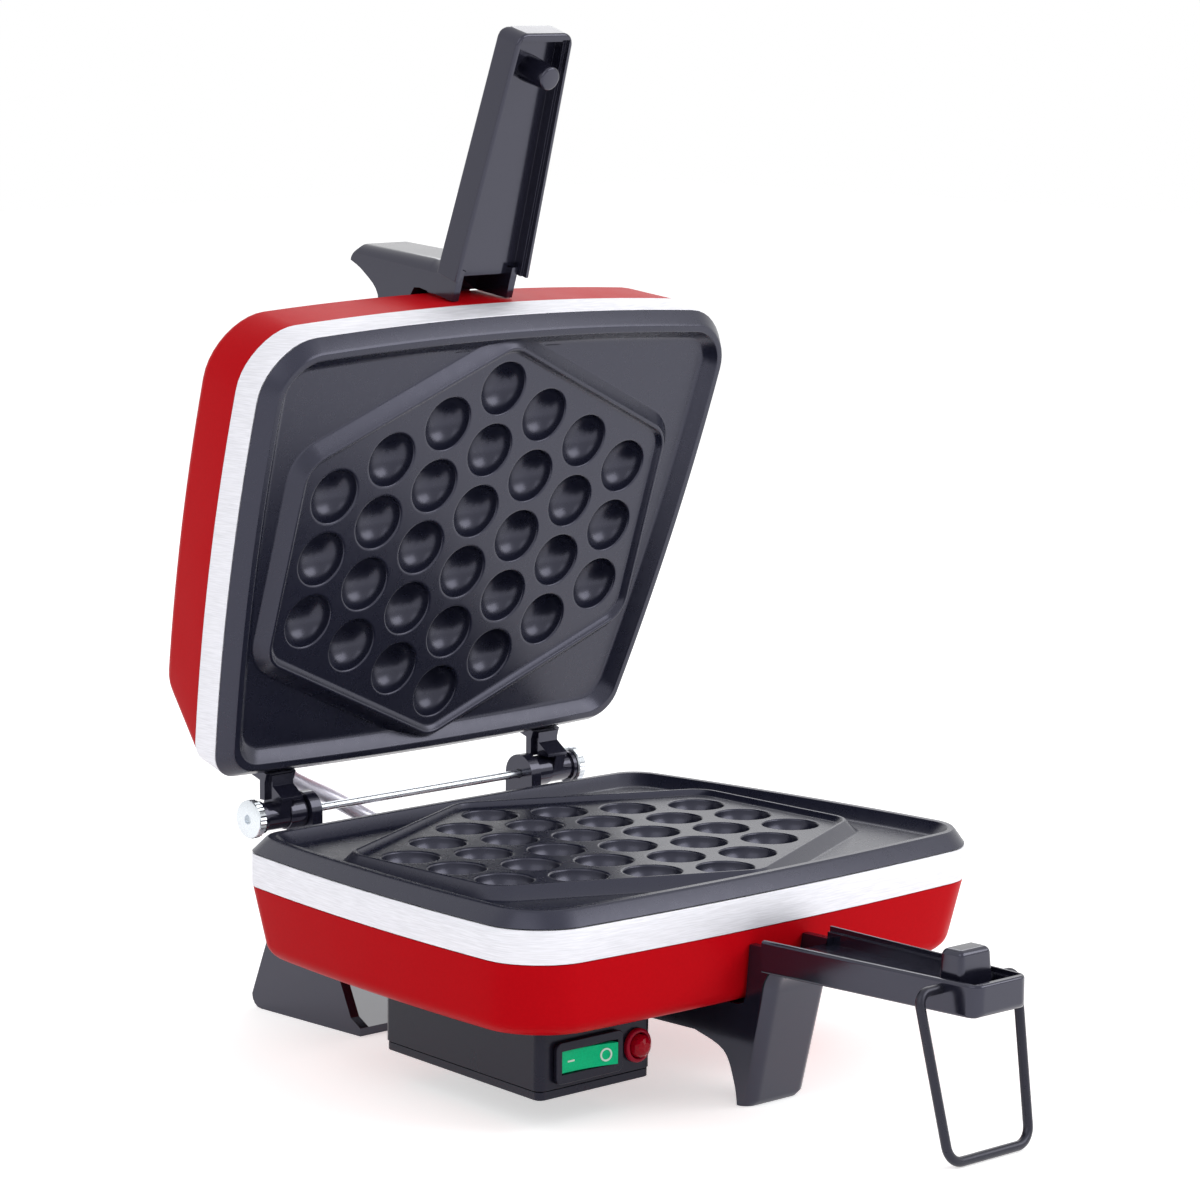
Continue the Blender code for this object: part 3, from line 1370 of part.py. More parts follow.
# Screws that hold the cover on the box
for word, y in (("front", BOX_FRONT_Y + COVER_SCREW_INSET * 2.5), ("rear", BOX_REAR_Y - COVER_SCREW_INSET)):
    x = (BOX_NEAR_X + BOX_FAR_X) / 2 + COVER_SCREW_INSET
    place = (x, y, cover_low + SCREW_HEAD_H)
    name = "cover_screw_" + word
    length = COVER_DEPTH + SCREW_TIP
    screw_at(name, place, "Z", -1, length, ZINC)
    sink = [
        (-SCREW_HEAD_H - OVERRUN, 0),
        (-SCREW_HEAD_H - OVERRUN, SCREW_HEAD_R + GAP),
        (GAP, SCREW_HEAD_R + GAP),
        (GAP, SCREW_R + GAP),
        (length + OVERRUN, SCREW_R + GAP),
        (length + OVERRUN, 0),
    ]
    combine(cover, solid(name + "_sink", *turned(sink, place, "Z", 14)))
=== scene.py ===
import math

import bmesh
import bpy
from mathutils import Matrix, Vector


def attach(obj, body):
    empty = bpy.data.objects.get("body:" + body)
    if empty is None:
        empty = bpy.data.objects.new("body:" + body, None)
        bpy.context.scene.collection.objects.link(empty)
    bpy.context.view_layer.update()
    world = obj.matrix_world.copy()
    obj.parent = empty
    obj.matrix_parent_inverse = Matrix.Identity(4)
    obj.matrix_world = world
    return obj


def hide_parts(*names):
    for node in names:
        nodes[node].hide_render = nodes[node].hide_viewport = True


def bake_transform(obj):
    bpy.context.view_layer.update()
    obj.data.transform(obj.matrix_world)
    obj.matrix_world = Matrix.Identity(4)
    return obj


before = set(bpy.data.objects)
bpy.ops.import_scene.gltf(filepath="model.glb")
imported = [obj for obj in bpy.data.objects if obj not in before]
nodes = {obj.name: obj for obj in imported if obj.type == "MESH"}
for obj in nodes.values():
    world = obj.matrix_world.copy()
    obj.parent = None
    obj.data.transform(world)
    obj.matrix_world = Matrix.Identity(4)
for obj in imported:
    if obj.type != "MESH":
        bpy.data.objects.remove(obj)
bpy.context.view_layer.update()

# Places
SHIFT = Vector((0, 0.02425, 0.0780))
PARTING_Z = 0.0024
HINGE_Y = 0.1003
HINGE_Z = 0.0030
LID_OPEN_DEGREES = 72.5

# Meshing. Edges sharper than the corner angle are rounded, and faces within the flat angles are joined
MERGE_GAP = 0.000002
SOLID_MERGE_GAP = 0.000005
FLAT_DEGREES = 0.5
SOLID_FLAT_DEGREES = 0.8
CORNER_DEGREES = 32
ROUTE_STEPS = 5

# Plan of a half
FRONT_HALF = 0.1076
REAR_HALF = 0.0922
FRONT_Y = -0.0780
REAR_Y = 0.0795
FRONT_CORNER_R = 0.0150
REAR_CORNER_R = 0.0100
SIDE_BOW = 0.0036
FRONT_BOW = 0.0044
REAR_BOW = 0.0018
CORNER_STEPS = 10
SIDE_STEPS = 14

# Hot plate
CREST_Z = 0.0023
CREST_WIDTH = 0.0016
EDGE_R = 0.0008
TRAY_Z = -0.0023
TRAY_SLOPE = 0.0046
FLARE = 0.0046
SKIRT_Z = -0.0033
PLATE_WALL = 0.0032
PLATE_STEP_IN = 0.0004
CUP_R = 0.0101
CUP_DEPTH = 0.0080
CUP_LIP = 0.0007
CUP_LAND = 0.0005
CUP_PITCH_X = 0.0234
CUP_PITCH_Y = 0.0240
CUPS_PER_COLUMN = (3, 4, 5, 6, 5, 4, 3)
CUP_STEPS = 40
CUP_RINGS = 9
CUP_LIP_STEPS = 4
HEX_HALF = 0.0862
HEX_CORNER_Y = 0.0365
HEX_VERTEX_Y = 0.0762
HEX_CORNER_R = 0.0100
RIDGE_TOP_Z = 0.0021
RIDGE_WIDTH = 0.0018
RIDGE_OUTER_SLOPE = 0.0040
RIDGE_INNER_SLOPE = 0.0012
BOSS_DEPTH = 0.0108
BOSS_INSET = 0.0020
TRAY_TOE_SHARES = ((1, 0.7), (0, 0.2), (-1, 0), (-1.5, 0))
RIDGE_TOE_SHARES = ((0.7, 0), (0.4, 0), (-0.5, 0.4))

# Band and pan
GAP = 0.0003
BAND_BOTTOM_Z = -0.0152
BAND_WALL = 0.0010
BAND_LIP = 0.0040
PAN_INSET = 0.0002
PAN_WALL = 0.0015
PAN_DEPTH_Z = -0.0420
PAN_DRAFT_DEGREES = 10.0
PAN_BEND_R = 0.0075
PAN_BEND_STEPS = 12
LID_REAR_LEAN_DEGREES = 35.0

# Handles, their legs and the pieces with them
HANDLE_ROOT_Y = -0.0948
HANDLE_TIP_Y = -0.1870
HANDLE_ROOT_HALF = 0.0178
HANDLE_TIP_HALF = 0.0132
HANDLE_RIM_Z = -0.0173
HANDLE_HEIGHT = 0.0112
HANDLE_TIP_R = 0.0045
HANDLE_TIP_UNDER_R = 0.0025
HANDLE_WALL = 0.0030
HANDLE_END_WALL = 0.0036
HANDLE_EDGE_R = 0.0011
HANDLE_NOSE_STEPS = 8
HANDLE_LIP = 0.0018
HANDLE_LIP_DEPTH = 0.0018
CHANNEL_DEPTH = 0.0058
CHEEK_DROP = 0.0032
FINE_EDGE_R = 0.0004
LEG_HALF = 0.0145
LEG_SOLE_HALF = 0.0135
LEG_EDGE_R = 0.0045
LEG_EDGE_STEPS = 7
LEG_CORNER_SHARE = 0.7
LEG_FRONT_TOP_Y = -0.0963
LEG_FRONT_TOP_Z = -0.0370
LEG_FRONT_FOOT_Y = -0.0872
LEG_REAR_FOOT_Y = -0.0802
LEG_TOE = 0.0025
LEG_TOE_SHARE = 0.8
LEG_ARCH_R = 0.0080
LEG_CALF_Y = -0.0788
LEG_CALF_Z = -0.0700
LEG_BACK_Y = -0.0846
LEG_BACK_Z = -0.0385
LEG_BACK_R = 0.0040
SOLE_Z = -0.0780
ARM_END_Y = -0.0390
ARM_UNDER_Z = -0.0550
ARM_SWEEP_Y = -0.0738
ARM_SWEEP_Z = -0.0597
ARM_SWEEP_FLAT_Y = -0.0600
BLOCK_EDGE_R = 0.0008
BRACKET_EDGE_R = 0.0006
HINGE_ARM_EDGE_R = 0.0005

# Wire bail
WIRE_R = 0.0017
BAIL_PIVOT = Vector((0, -0.1716, -0.0206))
BAIL_LENGTH = 0.0566
BAIL_TOP_HALF = 0.0243
BAIL_FOOT_HALF = 0.0198
BAIL_HANG_DEGREES = 11.31
BAIL_TOP_BEND_R = 0.0042
BAIL_FOOT_BEND_R = 0.0065
BAIL_HOOK_X = 0.0098

# Closing pin
PIN_Y = -0.1725
PIN_TOP_Z = -0.0109
PIN_BASE_R = 0.0050
PIN_TOP_R = 0.0043
PIN_EDGE_R = 0.0009

# Hinge
ROD_R = 0.0015
ROD_HALF = 0.0782
ROD_CHAMFER = 0.0004
BUSH_R = 0.0057
BUSH_START_X = 0.0568
BUSH_END_X = 0.0645
BORE_R = 0.0018
CAP_X = 0.0771
CAP_R = 0.0070
CAP_THICK = 0.0036
CAP_EDGE = 0.0007
CAP_TEETH = 30
CAP_TOOTH = 0.0003
CAP_SOCKET_R = 0.0019
CAP_SOCKET_DEPTH = 0.0012

# Conduit and its fittings
CONDUIT_R = 0.0030
FITTING_R = 0.0040
FITTING_LENGTH = 0.0080
FITTING_RIDGES = 4
FITTING_LID_X = -0.0450
FITTING_LID_Z = -0.0205
FITTING_BASE_X = -0.0030
FITTING_BASE_Z = -0.0194
CONDUIT_ROUTE = (
    (-0.0448, 0.1205, 0.0120),
    (-0.0400, 0.1185, 0.0082),
    (-0.0320, 0.1130, 0.0034),
    (-0.0230, 0.1080, -0.0026),
    (-0.0140, 0.1030, -0.0090),
    (-0.0070, 0.0985, -0.0145),
)

# Screws
SCREW_HEAD_R = 0.0034
SCREW_HEAD_H = 0.0020
SCREW_R = 0.0018
SCREW_HEAD_SHARES = ((0.95, 0.45), (0.8, 0.8), (0.62, 1))
CROSS_REACH = 0.0017
CROSS_HALF = 0.0004
CROSS_DEPTH = 0.0011
BRACKET_SCREW_X = 0.0250
BRACKET_SCREW_Z = -0.0305
BRACKET_SCREW_LENGTH = 0.0105
BRACKET_FLANGE = 0.0045
BRACKET_FLANGE_TOP_Z = -0.0252
HANDLE_SCREW_Y = -0.0490
HANDLE_SCREW_LENGTH = 0.0175
COVER_SCREW_X = -0.05675
COVER_SCREW_FRONT_Y = -0.0410
COVER_SCREW_REAR_Y = 0.0120
COVER_SCREW_LENGTH = 0.0060
COVER_Z = -0.0656
HINGE_SCREW_X = 0.0654
HINGE_SCREW_REACH = 0.0030
HINGE_FOOT_X = 0.0585
HINGE_FOOT_Z = -0.0340
HINGE_FOOT = 0.0035

# Switch and lamp
BOX_EDGE_R = 0.0005
BEZEL_EDGE_R = 0.0006
PANEL_Y = -0.0663
PANEL_Z = -0.0535
ROCKER_X = -0.07145
ROCKER_HALF = 0.0119
ROCKER_HALF_HEIGHT = 0.0037
ROCKER_PIVOT_Y = -0.0623
ROCKER_CROWN = 0.0062
ROCKER_DIP = 0.0011
ROCKER_BACK = 0.0034
ROCKER_BACK_HALF = 0.0094
ROCKER_TILT_DEGREES = 7.0
ROCKER_EDGE = 0.0005
ROCKER_CORNER_DEGREES = 40
ROCKER_STEPS = 6
MARK_X = 0.0073
MARK_THICK = 0.0004
MARK_STROKE = 0.0006
DASH_HALF = 0.0015
RING_R = 0.0023
LAMP_X = -0.0482
LAMP_R = 0.0059
LAMP_PROUD = 0.0016
LAMP_SEAT_R = 0.0047
LAMP_DEPTH = 0.0060
LENS_R = 0.0041
LENS_DOME = 0.0036
LENS_FACETS = 12
LENS_RINGS = 4

# Camera, matched to the photograph, and studio
PHOTO_PIXELS = 1200
FOCAL_PIXELS = 4384.663
SENSOR_MILLIMETRES = 36
NEAREST = 0.1
FARTHEST = 20
CAMERA_PLACE = Vector((-1.059947, -1.094391, 0.317205))
CAMERA_RIGHT = Vector((0.72026431, -0.69364408, 0.0087869))
CAMERA_DOWN = Vector((-0.09777508, -0.1140514, -0.98865176))
CAMERA_AHEAD = Vector((0.6867746, 0.71123145, -0.14996826))
LAMP_AIM = (0, 0, 0.12)
LAMPS = (
    ("key", (0.9, -1.3, 1.1), (1.5, 1.0), 14),
    ("left_fill", (-1.2, -0.4, 1.2), (1.2, 1.2), 4),
    ("rim", (1.1, 0.9, 0.9), (0.7, 0.5), 2),
)
WORLD_LIGHT = 0.62
PAPER_WHITE = 0.9
PAPER_ROUGHNESS = 0.9
PAPER_GLOW = 0.55
PAPER_HALF = 4

hinge = SHIFT + Vector((0, HINGE_Y, HINGE_Z))
lid_turn = math.radians(LID_OPEN_DEGREES)
mirror = Matrix.Diagonal((1, 1, -1, 1))
to_hinge = Matrix.Translation((0, -HINGE_Y, 2 * PARTING_Z - HINGE_Z))
open_turn = Matrix.Rotation(-lid_turn, 4, "X")
PLACE = {
    "base": Matrix.Translation(SHIFT),
    "lid": Matrix.Translation(hinge) @ open_turn @ to_hinge @ mirror,
}


# Materials
GRAIN_LOW = 0.3
GRAIN_HIGH = 0.7
BUMP_HEIGHT = 0.0002


def socket(tree, name, kind, way, value=None):
    """Adds an input or an output to a node group."""
    made = tree.interface.new_socket(name, in_out=way, socket_type=kind)
    if value is not None:
        made.default_value = value


def grain_group():
    """Fine mottling: a mask that shades a colour, and a height for a bump."""
    tree = bpy.data.node_groups.new("fine_grain", "ShaderNodeTree")
    socket(tree, "Vector", "NodeSocketVector", "INPUT")
    socket(tree, "Scale", "NodeSocketFloat", "INPUT", 400.0)
    socket(tree, "Detail", "NodeSocketFloat", "INPUT", 4.0)
    socket(tree, "Low", "NodeSocketFloat", "INPUT", 0.0)
    socket(tree, "High", "NodeSocketFloat", "INPUT", 1.0)
    socket(tree, "Mask", "NodeSocketFloat", "OUTPUT")
    socket(tree, "Height", "NodeSocketFloat", "OUTPUT")
    way_in = tree.nodes.new("NodeGroupInput")
    way_out = tree.nodes.new("NodeGroupOutput")
    noise = tree.nodes.new("ShaderNodeTexNoise")
    spread = tree.nodes.new("ShaderNodeMapRange")
    tree.links.new(way_in.outputs["Vector"], noise.inputs["Vector"])
    tree.links.new(way_in.outputs["Scale"], noise.inputs["Scale"])
    tree.links.new(way_in.outputs["Detail"], noise.inputs["Detail"])
    tree.links.new(noise.outputs["Fac"], spread.inputs["Value"])
    spread.inputs["From Min"].default_value = GRAIN_LOW
    spread.inputs["From Max"].default_value = GRAIN_HIGH
    tree.links.new(way_in.outputs["Low"], spread.inputs["To Min"])
    tree.links.new(way_in.outputs["High"], spread.inputs["To Max"])
    tree.links.new(spread.outputs["Result"], way_out.inputs["Mask"])
    tree.links.new(noise.outputs["Fac"], way_out.inputs["Height"])
    return tree


GRAIN = grain_group()


def finish(
    name,
    colour,
    roughness,
    metallic=0.0,
    spread=0.04,
    shade=0.12,
    stretch=(1, 1, 1),
    turn=0.0,
    scale=300.0,
    bump=0.05,
    fine=1800.0,
    specular=0.5,
    tint=(1, 1, 1),
):
    """A mottled surface with a fine bump. Its grain can be stretched, and turned about X."""
    made = bpy.data.materials.new(name)
    made.use_nodes = True
    made.diffuse_color = (*colour, 1)
    tree = made.node_tree
    shader = tree.nodes["Principled BSDF"]
    shader.inputs["Metallic"].default_value = metallic
    shader.inputs["Specular IOR Level"].default_value = specular
    shader.inputs["Specular Tint"].default_value = (*tint, 1)
    place = tree.nodes.new("ShaderNodeTexCoord")
    mapping = tree.nodes.new("ShaderNodeMapping")
    mapping.inputs["Scale"].default_value = stretch
    mapping.inputs["Rotation"].default_value = (turn, 0, 0)
    tree.links.new(place.outputs["Object"], mapping.inputs["Vector"])
    broad = tree.nodes.new("ShaderNodeGroup")
    broad.node_tree = GRAIN
    broad.inputs["Scale"].default_value = scale
    broad.inputs["Low"].default_value = roughness - spread
    broad.inputs["High"].default_value = roughness + spread
    tree.links.new(mapping.outputs["Vector"], broad.inputs["Vector"])
    tree.links.new(broad.outputs["Mask"], shader.inputs["Roughness"])
    small = tree.nodes.new("ShaderNodeGroup")
    small.node_tree = GRAIN
    small.inputs["Scale"].default_value = fine
    tree.links.new(mapping.outputs["Vector"], small.inputs["Vector"])
    mix = tree.nodes.new("ShaderNodeMix")
    mix.data_type = "RGBA"
    mix.inputs["A"].default_value = (*[c * (1 - shade) for c in colour], 1)
    mix.inputs["B"].default_value = (*[min(1, c * (1 + shade)) for c in colour], 1)
    tree.links.new(small.outputs["Mask"], mix.inputs["Factor"])
    tree.links.new(mix.outputs["Result"], shader.inputs["Base Color"])
    rise = tree.nodes.new("ShaderNodeBump")
    rise.inputs["Strength"].default_value = bump
    rise.inputs["Distance"].default_value = BUMP_HEIGHT
    tree.links.new(small.outputs["Height"], rise.inputs["Height"])
    tree.links.new(rise.outputs["Normal"], shader.inputs["Normal"])
    return made


BRUSHED = (1, 1, 22)
COOL = (0.80, 0.80, 1.0)
STEEL = (0.80, 0.80, 0.84)
BRIGHT = {"metallic": 1.0, "spread": 0.05}
BAND_LOOK = {**BRIGHT, "shade": 0.07, "stretch": BRUSHED, "scale": 60, "bump": 0.06, "fine": 140}
MOULDED = {"spread": 0.02, "shade": 0.1, "scale": 120, "bump": 0.01, "fine": 2200, "tint": COOL}
RED = finish(
    "gloss_red_enamel",
    (0.56, 0.003, 0.008),
    0.34,
    spread=0.03,
    shade=0.03,
    scale=60,
    bump=0.015,
    fine=900,
    specular=0.02,
)
BAND = {
    "base": finish("brushed_band", STEEL, 0.72, **BAND_LOOK),
    "lid": finish("brushed_lid_band", STEEL, 0.72, turn=lid_turn, **BAND_LOOK),
}
COATING = finish(
    "non_stick_coating",
    (0.008, 0.009, 0.020),
    0.28,
    spread=0.02,
    shade=0.08,
    scale=220,
    bump=0.012,
    fine=2600,
    specular=0.7,
    tint=COOL,
)
PLASTIC = finish("black_moulded_plastic", (0.010, 0.010, 0.019), 0.15, specular=0.8, **MOULDED)
PANEL = finish("satin_box_plastic", (0.009, 0.009, 0.016), 0.26, specular=0.25, **MOULDED)
WIRE = finish("black_painted_wire", (0.012, 0.012, 0.018), 0.30, spread=0.05, shade=0.1, tint=COOL)
ZINC = finish("bright_zinc", (0.74, 0.78, 0.82), 0.30, shade=0.06, scale=500, bump=0.03, **BRIGHT)
HOSE = finish(
    "bright_conduit", (0.72, 0.71, 0.80), 0.34, 0.45, spread=0.05, shade=0.06, scale=500, bump=0.02
)
SHEET = finish(
    "aluminised_sheet", (0.60, 0.60, 0.60), 0.42, 1.0, spread=0.08, shade=0.1, scale=90, bump=0.06
)
SHEATH = finish(
    "oxidised_sheath", (0.20, 0.18, 0.16), 0.5, 1.0, spread=0.1, shade=0.2, scale=150, bump=0.1
)
CERAMIC = finish(
    "white_ceramic", (0.75, 0.72, 0.66), 0.55, spread=0.08, shade=0.06, scale=200, bump=0.08
)
GREEN = finish(
    "green_rocker_plastic",
    (0.001, 0.52, 0.22),
    0.20,
    spread=0.03,
    shade=0.1,
    scale=150,
    bump=0.02,
    specular=0.1,
)
LAMP_RING = finish(
    "red_ring_plastic", (0.32, 0.001, 0.020), 0.24, shade=0.08, scale=200, bump=0.02, specular=0.12
)
LENS = finish(
    "red_lens", (0.36, 0.001, 0.012), 0.06, spread=0.02, shade=0.1, scale=250, bump=0.01, specular=0.12
)
MARKING = finish("white_marking", (0.62, 0.80, 0.72), 0.5, shade=0.03, bump=0.02)


# Building
def loop(net, places):
    """A closed loop of edges."""
    verts = [net.verts.new(p) for p in places]
    edges = [net.edges.new(pair) for pair in zip(verts, verts[1:] + verts[:1])]
    return verts, edges


def extend(net, rim, places):
    """Extrudes a loop on to new places and gives back the new loop."""
    made = bmesh.ops.extrude_edge_only(net, edges=rim[1])["geom"]
    fresh = {v for v in made if isinstance(v, bmesh.types.BMVert)}
    follow = {}
    for v in fresh:
        for edge in v.link_edges:
            if edge.other_vert(v) not in fresh:
                follow[edge.other_vert(v)] = v
    verts = [follow[v] for v in rim[0]]
    for v, place in zip(verts, places):
        v.co = place
    return verts, [net.edges.get(pair) for pair in zip(verts, verts[1:] + verts[:1])]


def skin(net, rings, close=False):
    """Extrudes a loop through rings of places. It gives back the first and the last loop."""
    first = rim = loop(net, rings[0])
    for ring in rings[1:]:
        rim = extend(net, rim, ring)
    if close:
        net.faces.new(first[0])
        net.faces.new(rim[0])
    return first, rim


def flat_fill(net, *rims):
    """Fills the level ground between loops."""
    edges = [edge for rim in rims for edge in rim[1]]
    bmesh.ops.triangle_fill(net, use_beauty=True, use_dissolve=False, edges=edges, normal=(0, 0, 1))


def settle(name, net, look, body, replaced=(), place=PLACE["base"], sharp=38):
    """Sets a finished bmesh in its place. It rides on its body; a piece that runs between two bodies is
    given none.
    """
    bmesh.ops.remove_doubles(net, verts=net.verts, dist=MERGE_GAP)
    net.transform(place)
    bmesh.ops.recalc_face_normals(net, faces=net.faces)
    mesh = bpy.data.meshes.new(name)
    net.to_mesh(mesh)
    net.free()
    mesh.materials.append(look)
    mesh.shade_smooth()
    mesh.set_sharp_from_angle(angle=math.radians(sharp))
    obj = bpy.data.objects.new(name, mesh)
    bpy.context.scene.collection.objects.link(obj)
    if body:
        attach(obj, body)
    if replaced:
        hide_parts(*replaced)
    return obj


def weigh(obj):
    """Shades flat faces flat and lets only the rounded edges turn the light."""
    step = obj.modifiers.new("even_shading", "WEIGHTED_NORMAL")
    step.keep_sharp = True
    step.weight = 60
    return obj


def join_flat(net, degrees):
    """Joins neighbouring faces that lie almost level with each other."""
    bmesh.ops.dissolve_limit(net, angle_limit=math.radians(degrees), verts=net.verts, edges=net.edges)


def round_edges(net, edges, width, steps, clamp=True):
    """Rounds edges. Clamped, a round stops where it meets another."""
    bmesh.ops.bevel(
        net,
        geom=edges,
        offset=width,
        segments=steps,
        profile=0.5,
        affect="EDGES",
        clamp_overlap=clamp,
        material=-1,
    )


def soften(net, width, steps, chosen=lambda edge: True):
    """Rounds the corners that are chosen."""
    limit = math.radians(CORNER_DEGREES)
    edges = [e for e in net.edges if e.is_manifold and e.calc_face_angle() > limit and chosen(e)]
    round_edges(net, edges, width, steps)


def dressed(node, look, body, width, steps=2):
    """A copy of a plain black solid with its edges rounded."""
    net = bmesh.new()
    net.from_mesh(nodes[node].data)
    bmesh.ops.remove_doubles(net, verts=net.verts, dist=SOLID_MERGE_GAP)
    join_flat(net, SOLID_FLAT_DEGREES)
    soften(net, width, steps)
    weigh(settle(node + "_dressed", net, look, body, (node,), Matrix(), sharp=50))


def rounded(corners):
    """A closed outline of (x, y, radius) corners, each turned into an arc."""
    outline = []
    for i, (x, y, radius) in enumerate(corners):
        here = Vector((x, y))
        before = (Vector(corners[i - 1][:2]) - here).normalized()
        after = (Vector(corners[(i + 1) % len(corners)][:2]) - here).normalized()
        half = before.angle(after) / 2
        centre = here + (before + after).normalized() * radius / math.sin(half)
        start = here + before * radius / math.tan(half) - centre
        end = here + after * radius / math.tan(half) - centre
        a = math.atan2(start.y, start.x)
        turn = (math.atan2(end.y, end.x) - a + math.pi) % (2 * math.pi) - math.pi
        for k in range(CORNER_STEPS + 1):
            t = a + turn * k / CORNER_STEPS
            outline.append(centre + Vector((math.cos(t), math.sin(t))) * radius)
    return outline


def body_ring(grow, z, lean_in=0.0, front_r=None):
    """The plan of a half, let out by grow, at height z. The rear side can lie further in."""
    corners = []
    for x_sign, y_sign in ((-1, -1), (1, -1), (1, 1), (-1, 1)):
        y = FRONT_Y - grow if y_sign < 0 else REAR_Y + grow - lean_in
        share = (y - FRONT_Y) / (REAR_Y - FRONT_Y)
        x = FRONT_HALF + (REAR_HALF - FRONT_HALF) * share + grow
        radius = (front_r or FRONT_CORNER_R + grow) if y_sign < 0 else REAR_CORNER_R
        corners.append((x_sign * x, y, radius))
    outline = rounded(corners)
    ring = []
    per = CORNER_STEPS + 1
    for first in range(0, len(outline), per):
        ring += outline[first : first + per]
        end, start = ring[-1], outline[(first + per) % len(outline)]
        ring += [end.lerp(start, k / SIDE_STEPS) for k in range(1, SIDE_STEPS)]
    middle = (FRONT_Y + REAR_Y) / 2
    reach = (REAR_Y - FRONT_Y) / 2
    bowed = []
    for p in ring:
        share = max(-1, min(1, (p.y - middle) / reach))
        side = max(-1, min(1, p.x / (FRONT_HALF + (REAR_HALF - FRONT_HALF) * (share + 1) / 2)))
        bow = FRONT_BOW if share < 0 else REAR_BOW
        bowed.append((p.x + SIDE_BOW * side * (1 - share**2), p.y + bow * share * (1 - side**2), z))
    return bowed


def hexagon(grow, z):
    """The outline of the hexagon field, let out by grow."""
    slope = (HEX_VERTEX_Y - HEX_CORNER_Y) / HEX_HALF
    half = HEX_HALF + grow
    vertex = HEX_VERTEX_Y + grow * math.hypot(1, slope)
    corner = vertex - half * slope
    places = [(0, -vertex), (half, -corner), (half, corner)]
    places += [(-x, -y) for x, y in places]
    outline = rounded([(*place, HEX_CORNER_R + grow) for place in places])
    return [(p.x, p.y, z) for p in outline]


def arc(grow, z, radius, first, last, steps=4):
    """(grow, height) steps round an edge. Degrees, zero points outwards, ninety points up."""
    turns = [math.radians(first + (last - first) * k / steps) for k in range(steps + 1)]
    return [(grow + radius * math.cos(t), z + radius * math.sin(t)) for t in turns]


def circle(x, y, z, radius, steps):
    """A level ring of places."""
    turns = [math.tau * k / steps for k in range(steps)]
    return [(x + radius * math.cos(t), y + radius * math.sin(t), z) for t in turns]


def aimed(place, way):
    """A place whose height points along a way."""
    return Matrix.Translation(place) @ Vector(way).to_track_quat("Z", "X").to_matrix().to_4x4()


def spun(profile, steps=48):
    """A bmesh of (radius, height) points spun round the upright."""
    net = bmesh.new()
    verts = [net.verts.new((radius, 0, up)) for radius, up in profile]
    edges = [net.edges.new(pair) for pair in zip(verts, verts[1:])]
    bmesh.ops.spin(
        net,
        geom=verts + edges,
        cent=(0, 0, 0),
        axis=(0, 0, 1),
        angle=math.tau,
        steps=steps,
        use_merge=True,
    )
    return net


def bent(corners):
    """A route through (point, bend radius) corners with its turns rounded."""
    route = [Vector(corners[0][0])]
    for before, (place, radius), after in zip(corners, corners[1:], corners[2:]):
        here = Vector(place)
        back = (Vector(before[0]) - here).normalized()
        on = (Vector(after[0]) - here).normalized()
        half = back.angle(on) / 2
        centre = here + (back + on).normalized() * radius / math.sin(half)
        start = here + back * radius / math.tan(half) - centre
        end = here + on * radius / math.tan(half) - centre
        for k in range(CORNER_STEPS + 1):
            way = start.normalized().slerp(end.normalized(), k / CORNER_STEPS)
            route.append(centre + way * radius)
    route.append(Vector(corners[-1][0]))
    return route


def smooth_route(spots):
    """A route through all points, rounded between them."""
    made = []
    for i in range(len(spots) - 1):
        a, b, c = spots[max(i - 1, 0)], spots[i], spots[i + 1]
        d = spots[min(i + 2, len(spots) - 1)]
        for k in range(ROUTE_STEPS):
            t = k / ROUTE_STEPS
            bend = (a * 2 - b * 5 + c * 4 - d) * t**2 + (b * 3 - a - c * 3 + d) * t**3
            made.append((b * 2 + (c - a) * t + bend) / 2)
    return made + [spots[-1]]


def tube(route, radius, sides=20):
    """A bmesh round bar along a route."""
    rings = []
    side = (route[1] - route[0]).orthogonal().normalized()
    for i, place in enumerate(route):
        ahead = (route[min(i + 1, len(route) - 1)] - route[max(i - 1, 0)]).normalized()
        side = (side - ahead * side.dot(ahead)).normalized()
        other = ahead.cross(side)
        turns = [math.tau * k / sides for k in range(sides)]
        rings.append([place + (side * math.cos(t) + other * math.sin(t)) * radius for t in turns])
    net = bmesh.new()
    skin(net, rings, close=True)
    return net


